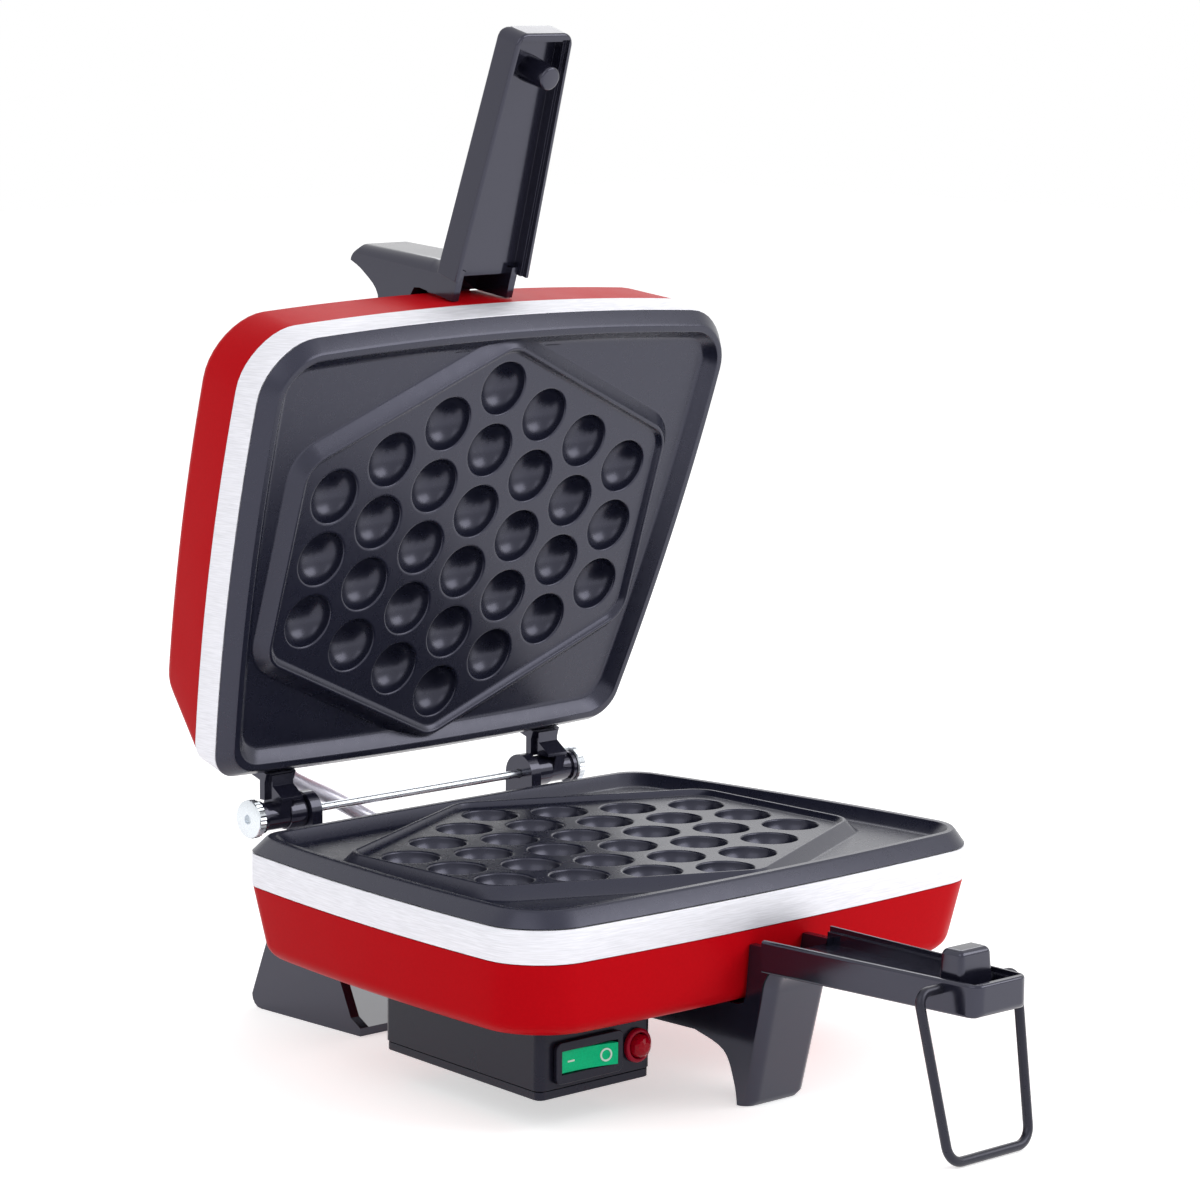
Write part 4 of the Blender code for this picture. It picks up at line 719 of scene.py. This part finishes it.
# Hot plates
def hot_plate(half):
    """A casting: rim, tray, hexagon ridge and cups above, a flat boss below."""
    net = bmesh.new()
    under = TRAY_Z - PLATE_WALL
    boss, shelf = skin(net, [hexagon(-BOSS_INSET, -BOSS_DEPTH), hexagon(-BOSS_INSET, under)])
    net.faces.new(boss[0])
    profile = [(-PLATE_STEP_IN, under), (-PLATE_STEP_IN, SKIRT_Z), (FLARE - GAP, SKIRT_Z)]
    profile += [(FLARE, SKIRT_Z + GAP), (CREST_WIDTH / 2 + GAP, CREST_Z - EDGE_R)]
    profile += arc(0, CREST_Z - EDGE_R, EDGE_R, 60, 90)
    profile += arc(-CREST_WIDTH, CREST_Z - EDGE_R, EDGE_R, 90, 150)
    floor_grow = -CREST_WIDTH - TRAY_SLOPE
    profile += [(floor_grow + EDGE_R * out, TRAY_Z + EDGE_R * up) for out, up in TRAY_TOE_SHARES]
    step, gutter = skin(net, [body_ring(grow, z) for grow, z in profile])
    flat_fill(net, shelf, step)
    foot = RIDGE_WIDTH + RIDGE_OUTER_SLOPE
    profile = [(foot + EDGE_R * out, TRAY_Z + EDGE_R * up) for out, up in RIDGE_TOE_SHARES]
    profile += arc(RIDGE_WIDTH - EDGE_R, RIDGE_TOP_Z - EDGE_R, EDGE_R, 35, 90)
    profile += arc(EDGE_R, RIDGE_TOP_Z - EDGE_R, EDGE_R, 90, 155)
    profile += [(-RIDGE_INNER_SLOPE + GAP, GAP), (-RIDGE_INNER_SLOPE - GAP, 0)]
    profile += [(-RIDGE_INNER_SLOPE - EDGE_R, 0)]
    outer, field = skin(net, [hexagon(grow, z) for grow, z in profile])
    flat_fill(net, gutter, outer)
    middle = (len(CUPS_PER_COLUMN) - 1) / 2
    mouths = []
    for c, count in enumerate(CUPS_PER_COLUMN):
        for r in range(count):
            x, y = (c - middle) * CUP_PITCH_X, (r - (count - 1) / 2) * CUP_PITCH_Y
            bowl = [(CUP_R + CUP_LIP + CUP_LAND, 0), (CUP_R + CUP_LIP, 0)]
            for k in range(1, CUP_LIP_STEPS):
                t = math.pi / 2 * k / CUP_LIP_STEPS
                bowl.append((CUP_R + CUP_LIP * (1 - math.sin(t)), -CUP_LIP * (1 - math.cos(t))))
            for k in range(CUP_RINGS):
                t = math.pi / 2 * (1 - k / CUP_RINGS)
                bowl.append((CUP_R * math.sin(t), -CUP_LIP - (CUP_DEPTH - CUP_LIP) * math.cos(t)))
            mouth, bottom = skin(net, [circle(x, y, z, radius, CUP_STEPS) for radius, z in bowl])
            net.faces.new(bottom[0])
            mouths.append(mouth)
    flat_fill(net, field, *mouths)
    name = half + "_cup_plate"
    settle(name, net, COATING, half, (half + "_hotplate",), PLACE[half], sharp=42)


def band(half):
    """A thin ring with a lip turned in above and below."""
    net = bmesh.new()
    inner, top, low = FLARE - BAND_LIP, SKIRT_Z - GAP, BAND_BOTTOM_Z
    profile = [(inner, top), (FLARE - GAP * 2, top)] + arc(FLARE - GAP, top - GAP, GAP, 90, 0, 3)
    profile += arc(FLARE - GAP, low + GAP, GAP, 0, -90, 3)
    profile += [(inner, low), (inner, low + BAND_WALL), (FLARE - BAND_WALL, low + BAND_WALL)]
    profile += [(FLARE - BAND_WALL, top - BAND_WALL), (inner, top - BAND_WALL)]
    rings = [body_ring(grow, z) for grow, z in profile]
    skin(net, rings + rings[:1])
    settle(half + "_steel_band", net, BAND[half], half, (half + "_band",), PLACE[half])


draft = math.radians(PAN_DRAFT_DEGREES)
rear_lean = {"base": 0.0, "lid": math.tan(math.radians(LID_REAR_LEAN_DEGREES)) - math.tan(draft)}


def pan_grow(z):
    """How far the pan's straight wall stands out at height z."""
    return FLARE - PAN_INSET - (BAND_BOTTOM_Z - z) * math.tan(draft)


def rear_wall(z, x=0.0, half="base"):
    """How far back the outside of the pan's rear wall lies."""
    bow = REAR_BOW * (1 - (x / REAR_HALF) ** 2)
    return REAR_Y + bow + pan_grow(z) - (BAND_BOTTOM_Z - z) * rear_lean[half]


def pan(half):
    """A drafted pan of even wall with a round bend at its bottom."""
    net = bmesh.new()
    bend_z = PAN_DEPTH_Z + PAN_BEND_R
    inset = PAN_INSET + (BAND_BOTTOM_Z - bend_z) * math.tan(draft) + PAN_BEND_R / math.cos(draft)

    def ring(grow, z, inward=0.0):
        """The pan's plan at a height, with front corners of the same radius all the way down."""
        lean_in = (BAND_BOTTOM_Z - z) * rear_lean[half]
        return body_ring(grow, z, lean_in, FRONT_CORNER_R + FLARE - inward)

    def bend(radius):
        """The rings round the bend at the bottom."""
        rings = []
        for k in range(PAN_BEND_STEPS + 1):
            t = math.pi / 2 + (draft - math.pi / 2) * k / PAN_BEND_STEPS
            grow = FLARE - inset + radius * math.cos(t)
            rings.append(ring(grow, bend_z - radius * math.sin(t), PAN_BEND_R - radius))
        return rings

    top = BAND_BOTTOM_Z - GAP
    wall = pan_grow(top)
    rings = bend(PAN_BEND_R) + [ring(wall, top), ring(wall - PAN_WALL, top, PAN_WALL)]
    rings += reversed(bend(PAN_BEND_R - PAN_WALL))
    skin(net, rings, close=True)
    settle(half + "_red_pan", net, RED, half, (half + "_housing",), PLACE[half])


for side in ("base", "lid"):
    hot_plate(side)
    band(side)
    pan(side)


# Handles and rear bracket
def close_inner(net, rim, keep):
    """Closes the inner part of a channel section. It gives back the loop that goes on."""
    verts = rim[0]
    net.faces.new(verts[keep - 1 : len(verts) - keep + 1])
    rest = verts[:keep] + verts[-keep:]
    return rest, [net.edges.get(pair) for pair in zip(rest, rest[1:] + rest[:1])]


def grip(half, node):
    """The channel that is held: a floor, two walls with a ledge inside and a rounded end."""
    net = bmesh.new()
    under = HANDLE_RIM_Z - HANDLE_HEIGHT
    floor = HANDLE_RIM_Z - CHANNEL_DEPTH
    ledge = HANDLE_RIM_Z - HANDLE_LIP_DEPTH

    def section(y, kept):
        """A cut across the channel. Only the first corners of each side are kept where it is closed."""
        share = (y - HANDLE_TIP_Y) / (HANDLE_ROOT_Y - HANDLE_TIP_Y)
        x = HANDLE_TIP_HALF + (HANDLE_ROOT_HALF - HANDLE_TIP_HALF) * share
        ahead = max(0, HANDLE_TIP_Y + HANDLE_TIP_R - y)
        outer = x - HANDLE_TIP_R + math.sqrt(max(0, HANDLE_TIP_R**2 - ahead**2))
        nose = max(0, HANDLE_TIP_Y + HANDLE_TIP_UNDER_R - y)
        low = under + HANDLE_TIP_UNDER_R - math.sqrt(max(0, HANDLE_TIP_UNDER_R**2 - nose**2))
        inner = min(x - HANDLE_LIP, outer - HANDLE_EDGE_R)
        right = [(outer, low), (outer, HANDLE_RIM_Z), (inner, HANDLE_RIM_Z), (inner, ledge)]
        right += [(x - HANDLE_WALL, ledge), (x - HANDLE_WALL, floor)]
        right = right[:kept]
        return [(a, y, b) for a, b in right] + [(-a, y, b) for a, b in reversed(right)]

    places = (HANDLE_ROOT_Y, HANDLE_TIP_Y + HANDLE_TIP_R, HANDLE_TIP_Y + HANDLE_END_WALL)
    root, rim = skin(net, [section(y, 6) for y in places])
    net.faces.new(root[0])
    rim = close_inner(net, rim, 5)
    lip_end = HANDLE_LIP + HANDLE_END_WALL - HANDLE_WALL
    rim = extend(net, rim, section(HANDLE_TIP_Y + lip_end, 5))
    rim = close_inner(net, rim, 3)
    for k in range(1, HANDLE_NOSE_STEPS + 1):
        t = math.pi / 2 * k / HANDLE_NOSE_STEPS
        rim = extend(net, rim, section(HANDLE_TIP_Y + lip_end * (1 - math.sin(t)), 3))
    net.faces.new(rim[0])
    bmesh.ops.recalc_face_normals(net, faces=net.faces)
    join_flat(net, FLAT_DEGREES)

    def outside(vert):
        """Whether a corner lies on the outside of the channel."""
        share = (vert.co.y - HANDLE_TIP_Y) / (HANDLE_ROOT_Y - HANDLE_TIP_Y)
        x = HANDLE_TIP_HALF + (HANDLE_ROOT_HALF - HANDLE_TIP_HALF) * share - HANDLE_LIP / 2
        near_tip = vert.co.y < HANDLE_TIP_Y + HANDLE_LIP
        return abs(vert.co.x) > x or vert.co.z < floor - GAP or near_tip

    def along(edge):
        at_root = all(v.co.y > HANDLE_ROOT_Y - GAP for v in edge.verts)
        return not at_root and all(outside(v) for v in edge.verts)

    soften(net, HANDLE_EDGE_R, 4, along)
    soften(net, FINE_EDGE_R, 2)
    weigh(settle(node + "_grip", net, PLASTIC, half, (node,), PLACE[half], sharp=50))


def leg(half, node):
    """The leg under the grip and the arm under the pan, with a hollow between cheeks at the root."""
    net = bmesh.new()
    under = HANDLE_RIM_Z - HANDLE_HEIGHT
    inside = HANDLE_RIM_Z - CHANNEL_DEPTH - GAP
    top = HANDLE_RIM_Z - CHEEK_DROP
    tongue_y = LEG_FRONT_TOP_Y - LEG_ARCH_R
    front_wall = FRONT_Y - FRONT_BOW - GAP
    web_y = HANDLE_ROOT_Y + GAP
    cheek_y = HANDLE_ROOT_Y - HANDLE_WALL
    hollow = [(tongue_y, inside), (web_y, inside), (web_y, LEG_FRONT_TOP_Z)]
    hollow += [(front_wall - pan_grow(LEG_FRONT_TOP_Z), LEG_FRONT_TOP_Z)]
    cheek = [(tongue_y, inside), (cheek_y, inside), (cheek_y, top), (front_wall - pan_grow(top), top)]
    side = [(LEG_BACK_Y, LEG_BACK_Z), (LEG_BACK_Y + LEG_BACK_R / 4, PAN_DEPTH_Z + LEG_BACK_R / 4 - GAP)]
    side += [(LEG_BACK_Y + LEG_BACK_R, PAN_DEPTH_Z - GAP), (ARM_END_Y, PAN_DEPTH_Z - GAP)]
    side += [(ARM_END_Y, ARM_UNDER_Z)]
    sweep = [(ARM_SWEEP_FLAT_Y, ARM_UNDER_Z), (ARM_SWEEP_Y, ARM_SWEEP_Z), (LEG_CALF_Y, LEG_CALF_Z)]
    side += smooth_route([Vector(p) for p in sweep + [(LEG_REAR_FOOT_Y, SOLE_Z)]])
    toe = len(hollow + side)
    side += [(LEG_FRONT_FOOT_Y + LEG_TOE, SOLE_Z), (LEG_FRONT_FOOT_Y, SOLE_Z + LEG_TOE)]
    side += [(LEG_FRONT_TOP_Y, LEG_FRONT_TOP_Z)]
    for k in range(1, CORNER_STEPS + 1):
        t = math.pi / 2 * k / CORNER_STEPS
        y = LEG_FRONT_TOP_Y - LEG_ARCH_R * (1 - math.cos(t))
        side.append((y, LEG_FRONT_TOP_Z + (under - LEG_FRONT_TOP_Z) * math.sin(t)))

    def ring(sign, in_from_side, start):
        """A slice at a distance in from one side. Past the toe its outline is rounded off."""
        outline = start + side
        inset = LEG_EDGE_R - math.sqrt(max(0, LEG_EDGE_R**2 - (LEG_EDGE_R - in_from_side) ** 2))
        places = []
        for i, (y, z) in enumerate(outline):
            share = max(0, min(1, (LEG_FRONT_TOP_Z - z) / (LEG_FRONT_TOP_Z - SOLE_Z)))
            x = LEG_HALF + (LEG_SOLE_HALF - LEG_HALF) * share - in_from_side
            if i >= toe:
                after = outline[i + 1] if i + 1 < len(outline) else (y - GAP, z)
                way = Vector((after[0] - outline[i - 1][0], after[1] - outline[i - 1][1])).normalized()
                if i < toe + 2:
                    way = Vector((0, LEG_TOE_SHARE))
                y, z = y + way.y * inset, z - way.x * inset
            places.append((sign * x, y, z))
        return places

    turns = [math.pi / 2 * k / LEG_EDGE_STEPS for k in range(LEG_EDGE_STEPS + 1)]
    steps = sorted({LEG_EDGE_R * (1 - math.cos(t)) for t in turns} | {HANDLE_WALL})
    slices = [(step, cheek) for step in steps if step <= HANDLE_WALL]
    slices += [(step, hollow) for step in steps if step >= HANDLE_WALL]
    rings = [ring(1, *cut) for cut in slices] + [ring(-1, *cut) for cut in reversed(slices)]
    skin(net, rings, close=True)
    bmesh.ops.remove_doubles(net, verts=net.verts, dist=MERGE_GAP)
    bmesh.ops.recalc_face_normals(net, faces=net.faces)
    join_flat(net, FLAT_DEGREES)
    soften(net, HANDLE_EDGE_R * LEG_CORNER_SHARE, 3)
    weigh(settle(node + "_leg", net, PLASTIC, half, (node,), PLACE[half], sharp=50))


for half, node in (("base", "lower_handle"), ("lid", "upper_handle")):
    grip(half, node)
    leg(half, node)
dressed("rear_bracket", PLASTIC, "base", BRACKET_EDGE_R)
dressed("handle_block", PLASTIC, "base", BLOCK_EDGE_R, 3)
for word in ("left", "right"):
    dressed("hinge_arm_" + word, PLASTIC, "lid", HINGE_ARM_EDGE_R)

# Closing pin, a tapered boss in the upper handle's channel
pin_low = HANDLE_RIM_Z - CHANNEL_DEPTH
pin_height = PIN_TOP_Z - pin_low
profile = [(0, 0), (PIN_BASE_R, 0)]
profile += arc(PIN_TOP_R - PIN_EDGE_R, pin_height - PIN_EDGE_R, PIN_EDGE_R, 0, 90)
profile += [(0, pin_height)]
pin_place = PLACE["lid"] @ Matrix.Translation((0, PIN_Y, pin_low))
settle("closing_pin", spun(profile, 40), PLASTIC, "lid", ("handle_pin",), pin_place)

# Wire bail
route = bent(
    [
        ((-BAIL_HOOK_X, 0, 0), 0),
        ((-BAIL_TOP_HALF, 0, 0), BAIL_TOP_BEND_R),
        ((-BAIL_FOOT_HALF, 0, -BAIL_LENGTH), BAIL_FOOT_BEND_R),
        ((BAIL_FOOT_HALF, 0, -BAIL_LENGTH), BAIL_FOOT_BEND_R),
        ((BAIL_TOP_HALF, 0, 0), BAIL_TOP_BEND_R),
        ((BAIL_HOOK_X, 0, 0), 0),
    ]
)
swing = Matrix.Rotation(-math.radians(BAIL_HANG_DEGREES), 4, "X")
hang = Matrix.Translation(SHIFT + BAIL_PIVOT) @ swing
settle("bail_wire", tube(route, WIRE_R), WIRE, "bail", ("latch_bail",), hang)

# Hinge rod, bushes and knurled caps
rim = ROD_R - ROD_CHAMFER
profile = [(0, -ROD_HALF), (rim, -ROD_HALF), (ROD_R, ROD_CHAMFER - ROD_HALF)]
profile += [(ROD_R, ROD_HALF - ROD_CHAMFER), (rim, ROD_HALF), (0, ROD_HALF)]
settle("steel_rod", spun(profile, 32), ZINC, "base", ("hinge_rod",), aimed(hinge, (1, 0, 0)))


def cap_ring(radius, up, tooth=0.0, six_sided=False):
    """A ring of a cap, toothed for the knurl or six sided for its socket."""
    places = []
    for k in range(CAP_TEETH * 2):
        t = math.pi * k / CAP_TEETH
        r = radius - tooth * (k % 2)
        if six_sided:
            r = radius * math.cos(math.pi / 6) / math.cos(t % (math.pi / 3) - math.pi / 6)
        places.append((r * math.cos(t), r * math.sin(t), up))
    return places


for sign, word in ((-1, "left"), (1, "right")):
    place = aimed(hinge, (sign, 0, 0))
    profile = [(BORE_R, BUSH_START_X), (BUSH_R - GAP, BUSH_START_X), (BUSH_R, BUSH_START_X + GAP)]
    profile += [(BUSH_R, BUSH_END_X - GAP), (BUSH_R - GAP, BUSH_END_X), (BORE_R, BUSH_END_X)]
    sleeve = spun(profile + profile[:1])
    settle("sleeve_" + word, sleeve, PLASTIC, "base", ("hinge_bush_" + word,), place)
    end = CAP_X + CAP_THICK
    net = bmesh.new()
    rings = [cap_ring(BORE_R, CAP_X), cap_ring(CAP_R - CAP_EDGE, CAP_X)]
    rings += [cap_ring(CAP_R, up, CAP_TOOTH) for up in (CAP_X + CAP_EDGE / 2, end - CAP_EDGE)]
    rings += [cap_ring(CAP_R - CAP_EDGE / 2, end - CAP_EDGE / 2), cap_ring(CAP_R - CAP_EDGE * 2, end)]
    rings += [cap_ring(CAP_SOCKET_R, end, six_sided=True)]
    rings += [cap_ring(CAP_SOCKET_R, end - CAP_SOCKET_DEPTH, six_sided=True)]
    skin(net, rings, close=True)
    settle("knurled_cap_" + word, net, ZINC, "base", ("rod_cap_" + word,), place, sharp=30)


# Conduit between the halves, with a ridged fitting at each end
def out_of_wall(place, lean, out):
    """A place on the rear wall moved straight out of it."""
    t = math.radians(lean)
    return Vector(place) + Vector((0, out * math.cos(t), -out * math.sin(t)))


lid_exit = (FITTING_LID_X, rear_wall(FITTING_LID_Z, FITTING_LID_X, "lid"), FITTING_LID_Z)
base_exit = (FITTING_BASE_X, rear_wall(FITTING_BASE_Z, FITTING_BASE_X), FITTING_BASE_Z)
runs = (GAP * 2, FITTING_LENGTH, FITTING_LENGTH + CONDUIT_R)
route = [PLACE["lid"] @ out_of_wall(lid_exit, LID_REAR_LEAN_DEGREES, run) for run in runs]
route += [SHIFT + Vector(p) for p in CONDUIT_ROUTE]
route += [SHIFT + out_of_wall(base_exit, PAN_DRAFT_DEGREES, run) for run in reversed(runs)]
route = smooth_route(route)
hose = tube(route, CONDUIT_R, 24)
sleeve = settle("conduit_sleeve", hose, HOSE, None, ("conduit",), Matrix())
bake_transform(sleeve)
collar = FITTING_LENGTH / 2
ridge = (FITTING_LENGTH - collar) / FITTING_RIDGES
ends = (("lid", lid_exit, LID_REAR_LEAN_DEGREES), ("base", base_exit, PAN_DRAFT_DEGREES))
for body, place, lean in ends:
    profile = [(CONDUIT_R + GAP / 3, GAP), (FITTING_R, GAP), (FITTING_R, collar)]
    for k in range(FITTING_RIDGES):
        foot = collar + ridge * k
        profile += [(FITTING_R - GAP * 2, foot + ridge / 4), (FITTING_R - GAP, foot + ridge / 2)]
    profile += [(FITTING_R - GAP * 2, FITTING_LENGTH), (CONDUIT_R + GAP / 3, FITTING_LENGTH)]
    t = math.radians(lean)
    where = PLACE[body] @ aimed(place, (0, math.cos(t), -math.sin(t)))
    name = "conduit_fitting_" + body
    settle("ridged_" + name, spun(profile + profile[:1], 36), ZINC, body, (name,), where)


# Screws
def screw(node, place, out, length, body):
    """A round headed screw with a cross recess. Its head stands out along the way given."""
    steps = 24
    net = bmesh.new()
    profile = [(SCREW_R / 2, -length), (SCREW_R, SCREW_R / 2 - length), (SCREW_R, 0)]
    profile += [(SCREW_HEAD_R - GAP / 2, 0), (SCREW_HEAD_R, GAP / 2)]
    profile += [(SCREW_HEAD_R * wide, SCREW_HEAD_H * up) for wide, up in SCREW_HEAD_SHARES]
    tip, crown = skin(net, [circle(0, 0, up, radius, steps) for radius, up in profile])
    net.faces.new(tip[0])
    a, b = CROSS_HALF, CROSS_REACH
    quarter = [(b, -a), (b, a), (a, a)]
    cross = []
    for _ in range(4):
        cross += quarter
        quarter = [(-y, x) for x, y in quarter]
    mouth = loop(net, [(x, y, SCREW_HEAD_H) for x, y in cross])
    flat_fill(net, crown, mouth)
    net.faces.new(extend(net, mouth, [(x, y, SCREW_HEAD_H - CROSS_DEPTH) for x, y in cross])[0])
    settle(node + "_cross", net, ZINC, body, (node,), PLACE[body] @ aimed(place, out), sharp=30)


seat = rear_wall(BRACKET_FLANGE_TOP_Z) + BRACKET_FLANGE + GAP * 2
foot_y = rear_wall(HINGE_FOOT_Z + SCREW_HEAD_R * 2, HINGE_FOOT_X, "lid") + GAP * 2 + HINGE_FOOT
low_y = rear_wall(HINGE_FOOT_Z, HINGE_FOOT_X, "lid") + GAP
reach = foot_y - GAP - low_y + PAN_WALL * 2 + HINGE_SCREW_REACH
for sign, word in ((-1, "left"), (1, "right")):
    spot = (sign * BRACKET_SCREW_X, seat, BRACKET_SCREW_Z)
    screw("bracket_screw_" + word, spot, (0, 1, 0), BRACKET_SCREW_LENGTH, "base")
    spot = (sign * HINGE_SCREW_X, foot_y, HINGE_FOOT_Z + SCREW_HEAD_R)
    screw("hinge_screw_" + word, spot, (0, 1, 0), reach, "lid")
for body, node in (("base", "lower_handle_screw"), ("lid", "upper_handle_screw")):
    screw(node, (0, HANDLE_SCREW_Y, ARM_UNDER_Z - GAP), (0, 0, -1), HANDLE_SCREW_LENGTH, body)
for word, y in (("front", COVER_SCREW_FRONT_Y), ("rear", COVER_SCREW_REAR_Y)):
    spot = (COVER_SCREW_X, y, COVER_Z + SCREW_HEAD_H)
    screw("cover_screw_" + word, spot, (0, 0, -1), COVER_SCREW_LENGTH, "base")

# Switch box, cover and bezel
dressed("control_box", PANEL, "base", BOX_EDGE_R)
dressed("control_box_cover", PANEL, "base", BOX_EDGE_R)
dressed("switch_bezel", PANEL, "base", BEZEL_EDGE_R, 3)

# Rocker with its two marks
tilt = Matrix.Rotation(-math.radians(ROCKER_TILT_DEGREES), 4, "Z")
rocker_place = Matrix.Translation(SHIFT + Vector((ROCKER_X, ROCKER_PIVOT_Y, PANEL_Z))) @ tilt


def crown_y(x):
    """The rocker's hollow face."""
    return ROCKER_DIP * (1 - (x / ROCKER_HALF) ** 2) - ROCKER_CROWN


shares = [k / ROCKER_STEPS for k in range(-ROCKER_STEPS, ROCKER_STEPS + 1)]
outline = [(share * ROCKER_HALF, crown_y(share * ROCKER_HALF)) for share in shares]
outline += [(ROCKER_BACK_HALF, ROCKER_BACK), (-ROCKER_BACK_HALF, ROCKER_BACK)]
net = bmesh.new()
rings = [[(x, y, z) for x, y in outline] for z in (-ROCKER_HALF_HEIGHT, ROCKER_HALF_HEIGHT)]
skin(net, rings, close=True)
limit = math.radians(ROCKER_CORNER_DEGREES)
round_edges(net, [e for e in net.edges if e.calc_face_angle() > limit], ROCKER_EDGE, 3, clamp=False)
weigh(settle("green_rocker", net, GREEN, "rocker", ("switch_rocker",), rocker_place))


def on_rocker(x):
    """Where a mark lies on the rocker's hollow face."""
    lean = Matrix.Rotation(math.atan(-2 * ROCKER_DIP * x / ROCKER_HALF**2), 4, "Z")
    spot = Matrix.Translation((x, crown_y(x) - MARK_THICK / 4, 0))
    return rocker_place @ spot @ lean @ aimed((0, 0, 0), (0, -1, 0))


net = bmesh.new()
bmesh.ops.create_cube(net, size=1)
bmesh.ops.scale(net, vec=(MARK_STROKE, DASH_HALF * 2, MARK_THICK), verts=net.verts)
round_edges(net, net.edges[:], MARK_THICK / 6, 1, clamp=False)
settle("on_mark", net, MARKING, "rocker", (), on_rocker(-MARK_X))
inner, rise = RING_R - MARK_STROKE, MARK_THICK / 2
profile = [(inner, -rise), (RING_R, -rise), (RING_R, rise), (inner, rise)]
settle("off_mark", spun(profile + profile[:1], 32), MARKING, "rocker", (), on_rocker(MARK_X))

# Lamp: a ring and a faceted dome
lamp_place = PLACE["base"] @ aimed((LAMP_X, PANEL_Y, PANEL_Z), (0, -1, 0))
edge = LAMP_PROUD / 2
profile = [(LAMP_SEAT_R, -LAMP_DEPTH), (LAMP_SEAT_R, 0), (LAMP_R, 0)]
profile += arc(LAMP_R - edge, LAMP_PROUD - edge, edge, 0, 90)
profile += [(LENS_R + GAP * 2, LAMP_PROUD), (LENS_R + GAP, LAMP_PROUD - GAP)]
profile += [(LENS_R + GAP, -LAMP_DEPTH)]
ring = spun(profile + profile[:1])
settle("lamp_ring", ring, LAMP_RING, "base", ("lamp_bezel",), lamp_place)
net = bmesh.new()
rings = [circle(0, 0, z, LENS_R, LENS_FACETS) for z in (GAP - LAMP_DEPTH, LAMP_PROUD)]
for k in range(1, LENS_RINGS):
    t = math.pi / 2 * k / LENS_RINGS
    ring = circle(0, 0, LAMP_PROUD + LENS_DOME * math.sin(t), LENS_R * math.cos(t), LENS_FACETS)
    turn = Matrix.Rotation(math.pi / LENS_FACETS * (k % 2), 3, "Z")
    rings.append([turn @ Vector(p) for p in ring])
skin(net, rings, close=True)
bmesh.ops.triangulate(net, faces=net.faces[:])
settle("faceted_lens", net, LENS, "base", ("lamp_lens",), lamp_place, sharp=4)

# Inner parts, seen only where a gap shows them
for name, look in (
    ("base_heater", SHEATH),
    ("lid_heater", SHEATH),
    ("base_shield", SHEET),
    ("lid_shield", SHEET),
    ("base_thermostat", CERAMIC),
    ("lid_thermostat", CERAMIC),
    ("thermal_fuse", CERAMIC),
    ("terminal_block", CERAMIC),
    ("switch_body", PANEL),
):
    nodes[name].data.materials.clear()
    nodes[name].data.materials.append(look)

# Camera
camera_data = bpy.data.cameras.new("camera")
camera_data.sensor_width = SENSOR_MILLIMETRES
camera_data.lens = SENSOR_MILLIMETRES * FOCAL_PIXELS / PHOTO_PIXELS
camera_data.clip_start = NEAREST
camera_data.clip_end = FARTHEST
camera = bpy.data.objects.new("camera", camera_data)
turned = Matrix((CAMERA_RIGHT, -CAMERA_DOWN, -CAMERA_AHEAD)).transposed()
camera.matrix_world = Matrix.Translation(SHIFT + CAMERA_PLACE) @ turned.to_4x4()
bpy.context.scene.collection.objects.link(camera)
bpy.context.scene.camera = camera

# Studio
for name, place, size, power in LAMPS:
    lamp = bpy.data.lights.new(name, "AREA")
    lamp.shape = "RECTANGLE"
    lamp.size, lamp.size_y = size
    lamp.energy = power
    obj = bpy.data.objects.new(name, lamp)
    obj.location = place
    obj.rotation_euler = (Vector(LAMP_AIM) - Vector(place)).to_track_quat("-Z", "Y").to_euler()
    bpy.context.scene.collection.objects.link(obj)


def mostly_seen(tree, low, high):
    """A strength that is high where the camera, a reflection or glass looks, and low as light."""
    rays = tree.nodes.new("ShaderNodeLightPath")
    seen = tree.nodes.new("ShaderNodeMath")
    seen.operation = "MAXIMUM"
    through = tree.nodes.new("ShaderNodeMath")
    through.operation = "MAXIMUM"
    level = tree.nodes.new("ShaderNodeMapRange")
    level.inputs["To Min"].default_value = low
    level.inputs["To Max"].default_value = high
    tree.links.new(rays.outputs["Is Camera Ray"], seen.inputs[0])
    tree.links.new(rays.outputs["Is Glossy Ray"], seen.inputs[1])
    tree.links.new(seen.outputs[0], through.inputs[0])
    tree.links.new(rays.outputs["Is Transmission Ray"], through.inputs[1])
    tree.links.new(through.outputs[0], level.inputs["Value"])
    return level.outputs["Result"]


world = bpy.data.worlds.new("studio")
bpy.context.scene.world = world
world.use_nodes = True
tree = world.node_tree
background = tree.nodes["Background"]
background.inputs["Color"].default_value = (1, 1, 1, 1)
tree.links.new(mostly_seen(tree, WORLD_LIGHT, 1), background.inputs["Strength"])

paper = bpy.data.materials.new("white_paper")
paper.use_nodes = True
tree = paper.node_tree
shader = tree.nodes["Principled BSDF"]
shader.inputs["Base Color"].default_value = (PAPER_WHITE, PAPER_WHITE, PAPER_WHITE, 1)
shader.inputs["Roughness"].default_value = PAPER_ROUGHNESS
shader.inputs["Specular IOR Level"].default_value = 0
shader.inputs["Emission Color"].default_value = (1, 1, 1, 1)
tree.links.new(mostly_seen(tree, 0, PAPER_GLOW), shader.inputs["Emission Strength"])
net = bmesh.new()
bmesh.ops.create_grid(net, x_segments=1, y_segments=1, size=PAPER_HALF)
mesh = bpy.data.meshes.new("floor")
net.to_mesh(mesh)
net.free()
mesh.materials.append(paper)
floor = bpy.data.objects.new("floor", mesh)
bpy.context.scene.collection.objects.link(floor)

bpy.context.scene.view_settings.view_transform = "Standard"
